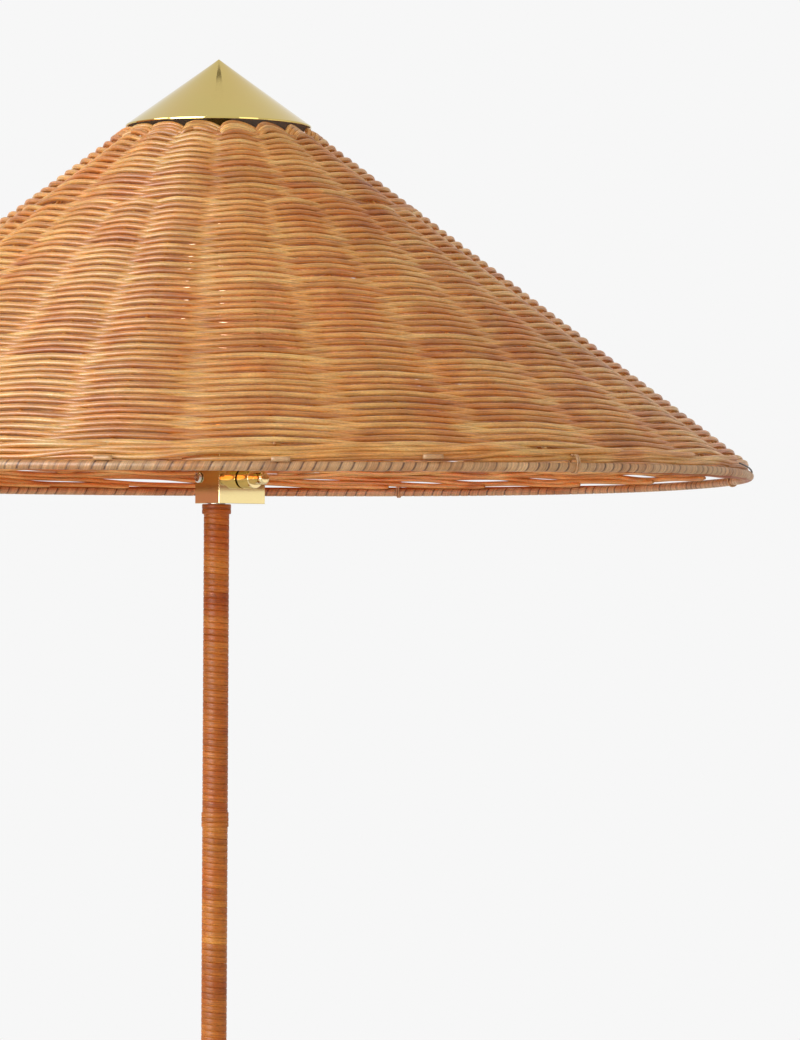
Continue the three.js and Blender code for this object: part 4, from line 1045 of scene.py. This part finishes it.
# Near each wrap's edges the groove deepens; the same share sets the painted shade in it.
groove_and_painted_shade = (2 * np.abs(across)) ** SEAM_SHARPNESS
tube = BINDING / 2 - SEAM_DEPTH * groove_and_painted_shade * edge_depth
reach = rim_r + tube * np.cos(turn * math.tau)
height = rim_z + hoop_lift(angle) + tube * np.sin(turn * math.tau)
for vert, x, y, z in zip(bm.verts, reach * np.sin(angle), -reach * np.cos(angle), height):
    vert.co = (x, y, z)
grain_layer = bm.verts.layers.float_vector.new("grain")
tone_layer = bm.verts.layers.float.new("tone")
# this layer holds how dark the painted shade in the groove is at each point
painted_shade_layer = bm.verts.layers.float.new("groove_and_painted_shade")
tones = np.interp(turn, edge_knots, [rng.random() for _ in edge_knots])
for vert, x, t, tone, dark in zip(bm.verts, across, turn, tones, groove_and_painted_shade * edge_depth):
    vert[grain_layer] = (x * WRAP_WIDTH, 0, t * math.pi * BINDING)
    vert[tone_layer] = tone
    vert[painted_shade_layer] = min(1, dark)
bmesh.ops.remove_doubles(bm, verts=bm.verts, dist=SEAM_WELD)
finished(bm, "rim_cane_binding", rim_cane, "shade", ["rim_binding"], sharp=math.pi)
dress(stem_cane, "rim_hoop")

# Foot border: each stake turns aside below the last row and runs level past the next three, where
# it is cut. So three or four of them always lie one above the other, down to the rim.
BORDER_TOP = 304.6 * MM
BORDER_RUN, RUN_SPREAD = 3.8, 0.2
BORDER_POINTS = 70
BORDER_DROP = 5 * MM
BORDER_BOW = 1.25 * MM
BOW_RATES, BOW_SHARES = (5.0, 6.6), (0.4, 1)
BORDER_WEFT, WEFT_RATE = 0.7 * MM, 3.1
BORDER_TONES = (0.25, 0.8)
# shares of the run: where the cane is out, turns in again, and thins to its cut
OUT_BY, IN_FROM, CUT_FROM = 0.09, 0.93, 0.975
CUT_THINNED = 0.35
# shares of the swing: where the cane starts, its step out and its step in
STARTS_INSIDE, STEP_OUT, STEP_IN = 0.6, 1.5, 1.2
SINK_START, SINK_SPEED = 0.05, 0.9
wall_turn_z = on_wall(TURN_DOWN_AT, 0, WALL / 2)[2]
rim_top_down = TURN_DOWN_AT + wall_turn_z - rim_z - (BINDING + CANE) / 2 + PRESSED
border_strands = []
for index in range(STAKES_BELOW):
    along = np.linspace(0, 1, BORDER_POINTS)
    start = FIRST_BELOW + index * math.tau / STAKES_BELOW
    run = BORDER_RUN + rng.uniform(-RUN_SPREAD, RUN_SPREAD)
    angles = start - along * run * math.tau / STAKES_BELOW
    lowest = rim_top_down - hoop_lift(angles)
    level = smooth_step(along * SINK_SPEED + SINK_START)
    bow = np.sin(along * run * rng.uniform(*BOW_RATES) + rng.uniform(0, math.tau))
    bow = bow * BORDER_BOW * rng.uniform(*BOW_SHARES) * np.sin(along * math.pi)
    out = smooth_step(along / OUT_BY)
    fall = BORDER_TOP + (lowest - BORDER_TOP) * level + bow - (1 - out) * BORDER_DROP
    weft = BORDER_WEFT * np.sin(along * run * WEFT_RATE + rng.uniform(0, math.tau))
    end = smooth_step((along - IN_FROM) / (1 - IN_FROM))
    side = (STEP_OUT * out - STARTS_INSIDE - STEP_IN * end) * SWING + weft
    tip = 1 - CUT_THINNED * smooth_step((along - CUT_FROM) / (1 - CUT_FROM))
    points = on_wall(np.minimum(fall, lowest), angles, side)
    border_strands.append((points, tip, rng.uniform(*BORDER_TONES)))
section = round_section(CANE, CANE_SIDES)
cane_piece(
    "shade_foot_border", border_strands, section, shade_cane, "shade", ["shade_weave"]
)

# Cut ends: three canes of the border were cut short, and their ends lie on
# the rim outside.
CUT_END = 2.6 * MM
CUT_END_PROUD = 1.7 * MM
cut_ends = []
# each end: degrees round from the front, length, height above the hoop
for degrees, length, above in (
    (-10.8, 9.2 * MM, 1.2 * MM),
    (6.0, 9.2 * MM, 0.9 * MM),
    (21.0, 10.6 * MM, 2.4 * MM),
):
    angles = math.radians(degrees) + np.linspace(-0.5, 0.5, 6) * length / rim_r
    reach = rim_r + CUT_END_PROUD
    height = rim_z + hoop_lift(angles) + BINDING / 2 + above
    points = np.c_[reach * np.sin(angles), -reach * np.cos(angles), height]
    cut_ends.append((points, 1.0, 0.8))
section = round_section(CUT_END, CANE_SIDES)
cane_piece("shade_cut_ends", cut_ends, section, rim_cane, "shade", ["shade_weave"])

# Lashings: at six places a thin strip of skin goes twice round the rim and the border's lowest
# cane, and ties the two together.
LASHING = 1.1 * MM
LASHING_TURNS = 2
LASHING_TALL, LASHING_WIDE = 4.6 * MM, 3.1 * MM
LASHING_RISE = 1.7 * MM
LASHING_PITCH = 1.1 * LASHING
lashing_names = sorted(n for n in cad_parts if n.startswith("rim_lashing_"))
section = round_section(LASHING, 6)
for index, name in enumerate(lashing_names):
    low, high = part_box(name)
    middle = (low + high) / 2
    angle = math.atan2(middle.x, -middle.y)
    along = np.linspace(0, LASHING_TURNS, LASHING_TURNS * TURN_STEPS + 1)
    turn = along * math.tau
    angles = angle + (along - LASHING_TURNS / 2) * LASHING_PITCH / rim_r
    reach = rim_r - LASHING_WIDE * np.sin(turn)
    height = rim_z + hoop_lift(angle) + LASHING_RISE + LASHING_TALL * np.cos(turn)
    points = np.c_[reach * np.sin(angles), -reach * np.cos(angles), height]
    tie = [(points, 1.0, 0.5)]
    cane_piece("rim_tie_%d" % (index + 1), tie, section, rim_cane, "shade", [name])

# Wire end: the tail of an iron tying wire. It comes out above the hoop on the right and is bent
# down over the rim.
annealed_iron = mottled("annealed_iron_wire", "#5a504a", "#3a332f", 0.5, 0.8 * MM, 0.02 * MM)
WIRE = 0.9 * MM
wire_points = []
# each point: degrees round from the front, radius, height above the hoop's middle
for degrees, reach, above in (
    (71, 298.6 * MM, 5.2 * MM),
    (73.5, 299.1 * MM, 4.4 * MM),
    (76, 299.4 * MM, 3.5 * MM),
    (78, 299.5 * MM, 2.6 * MM),
    (79.5, 299.5 * MM, 1.7 * MM),
):
    turn = math.radians(degrees)
    height = rim_z + hoop_lift(turn) + above
    wire_points.append((reach * math.sin(turn), -reach * math.cos(turn), height))
wire_strand = (np.array(wire_points), 1.0, 0.5)
section = round_section(WIRE, 8)
cane_piece("rim_wire_end", [wire_strand], section, annealed_iron, "shade", ["rim_lashing_1"])

# Cap: brass sheet spun to a sharp cone over the shade's open top, buffed outside. Its inside is
# left unpolished, and is coloured dark brown as painted shade under the cap.
CAP_WALL = 1.2 * MM
CAP_LIP = 0.9 * MM
CAP_EDGE = 0.12 * MM
# The cap's inside: dull brass, dark brown as painted shade.
dull_brass_painted_shade = mottled("dull_brass_painted_shade", "#4a3a22", "#2c2114", 0.55, 4 * MM, 0.02 * MM)
cap_low, cap_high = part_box("top_cap")
lip_z = cap_low.z + CAP_LIP
cap_slope = (cap_high.z - lip_z) / cap_high.x
cap_drop = CAP_WALL * math.hypot(1, cap_slope)
inner_r = cap_high.x - CAP_WALL
cap = spun(
    [
        (0, cap_high.z),
        (CAP_EDGE * 2, cap_high.z - CAP_EDGE * 2 * cap_slope),
        (cap_high.x - CAP_EDGE * 8, lip_z + CAP_EDGE * 8 * cap_slope),
        (cap_high.x - CAP_EDGE * 3, lip_z + CAP_EDGE * 3 * cap_slope),
        *arc(cap_high.x - CAP_EDGE * 2, lip_z - CAP_EDGE, CAP_EDGE * 2, 60, 0, 3),
        *arc(cap_high.x - CAP_EDGE, cap_low.z + CAP_EDGE, CAP_EDGE, 0, -90, 3),
        (inner_r, cap_low.z),
        (inner_r, lip_z + CAP_WALL * cap_slope - cap_drop),
        (0, cap_high.z - cap_drop),
    ],
    steps=160,
)
cap_piece = finished(cap, "cap_cone", polished_brass, "cap", ["top_cap"], sharp=math.radians(25))
cap_piece.data.materials.append(dull_brass_painted_shade)
# Faces that look down inside the cap take the painted shade.
for face in cap_piece.data.polygons:
    if face.normal.z < -0.5 and face.center.z > cap_low.z + CAP_EDGE / 2:
        face.material_index = 1
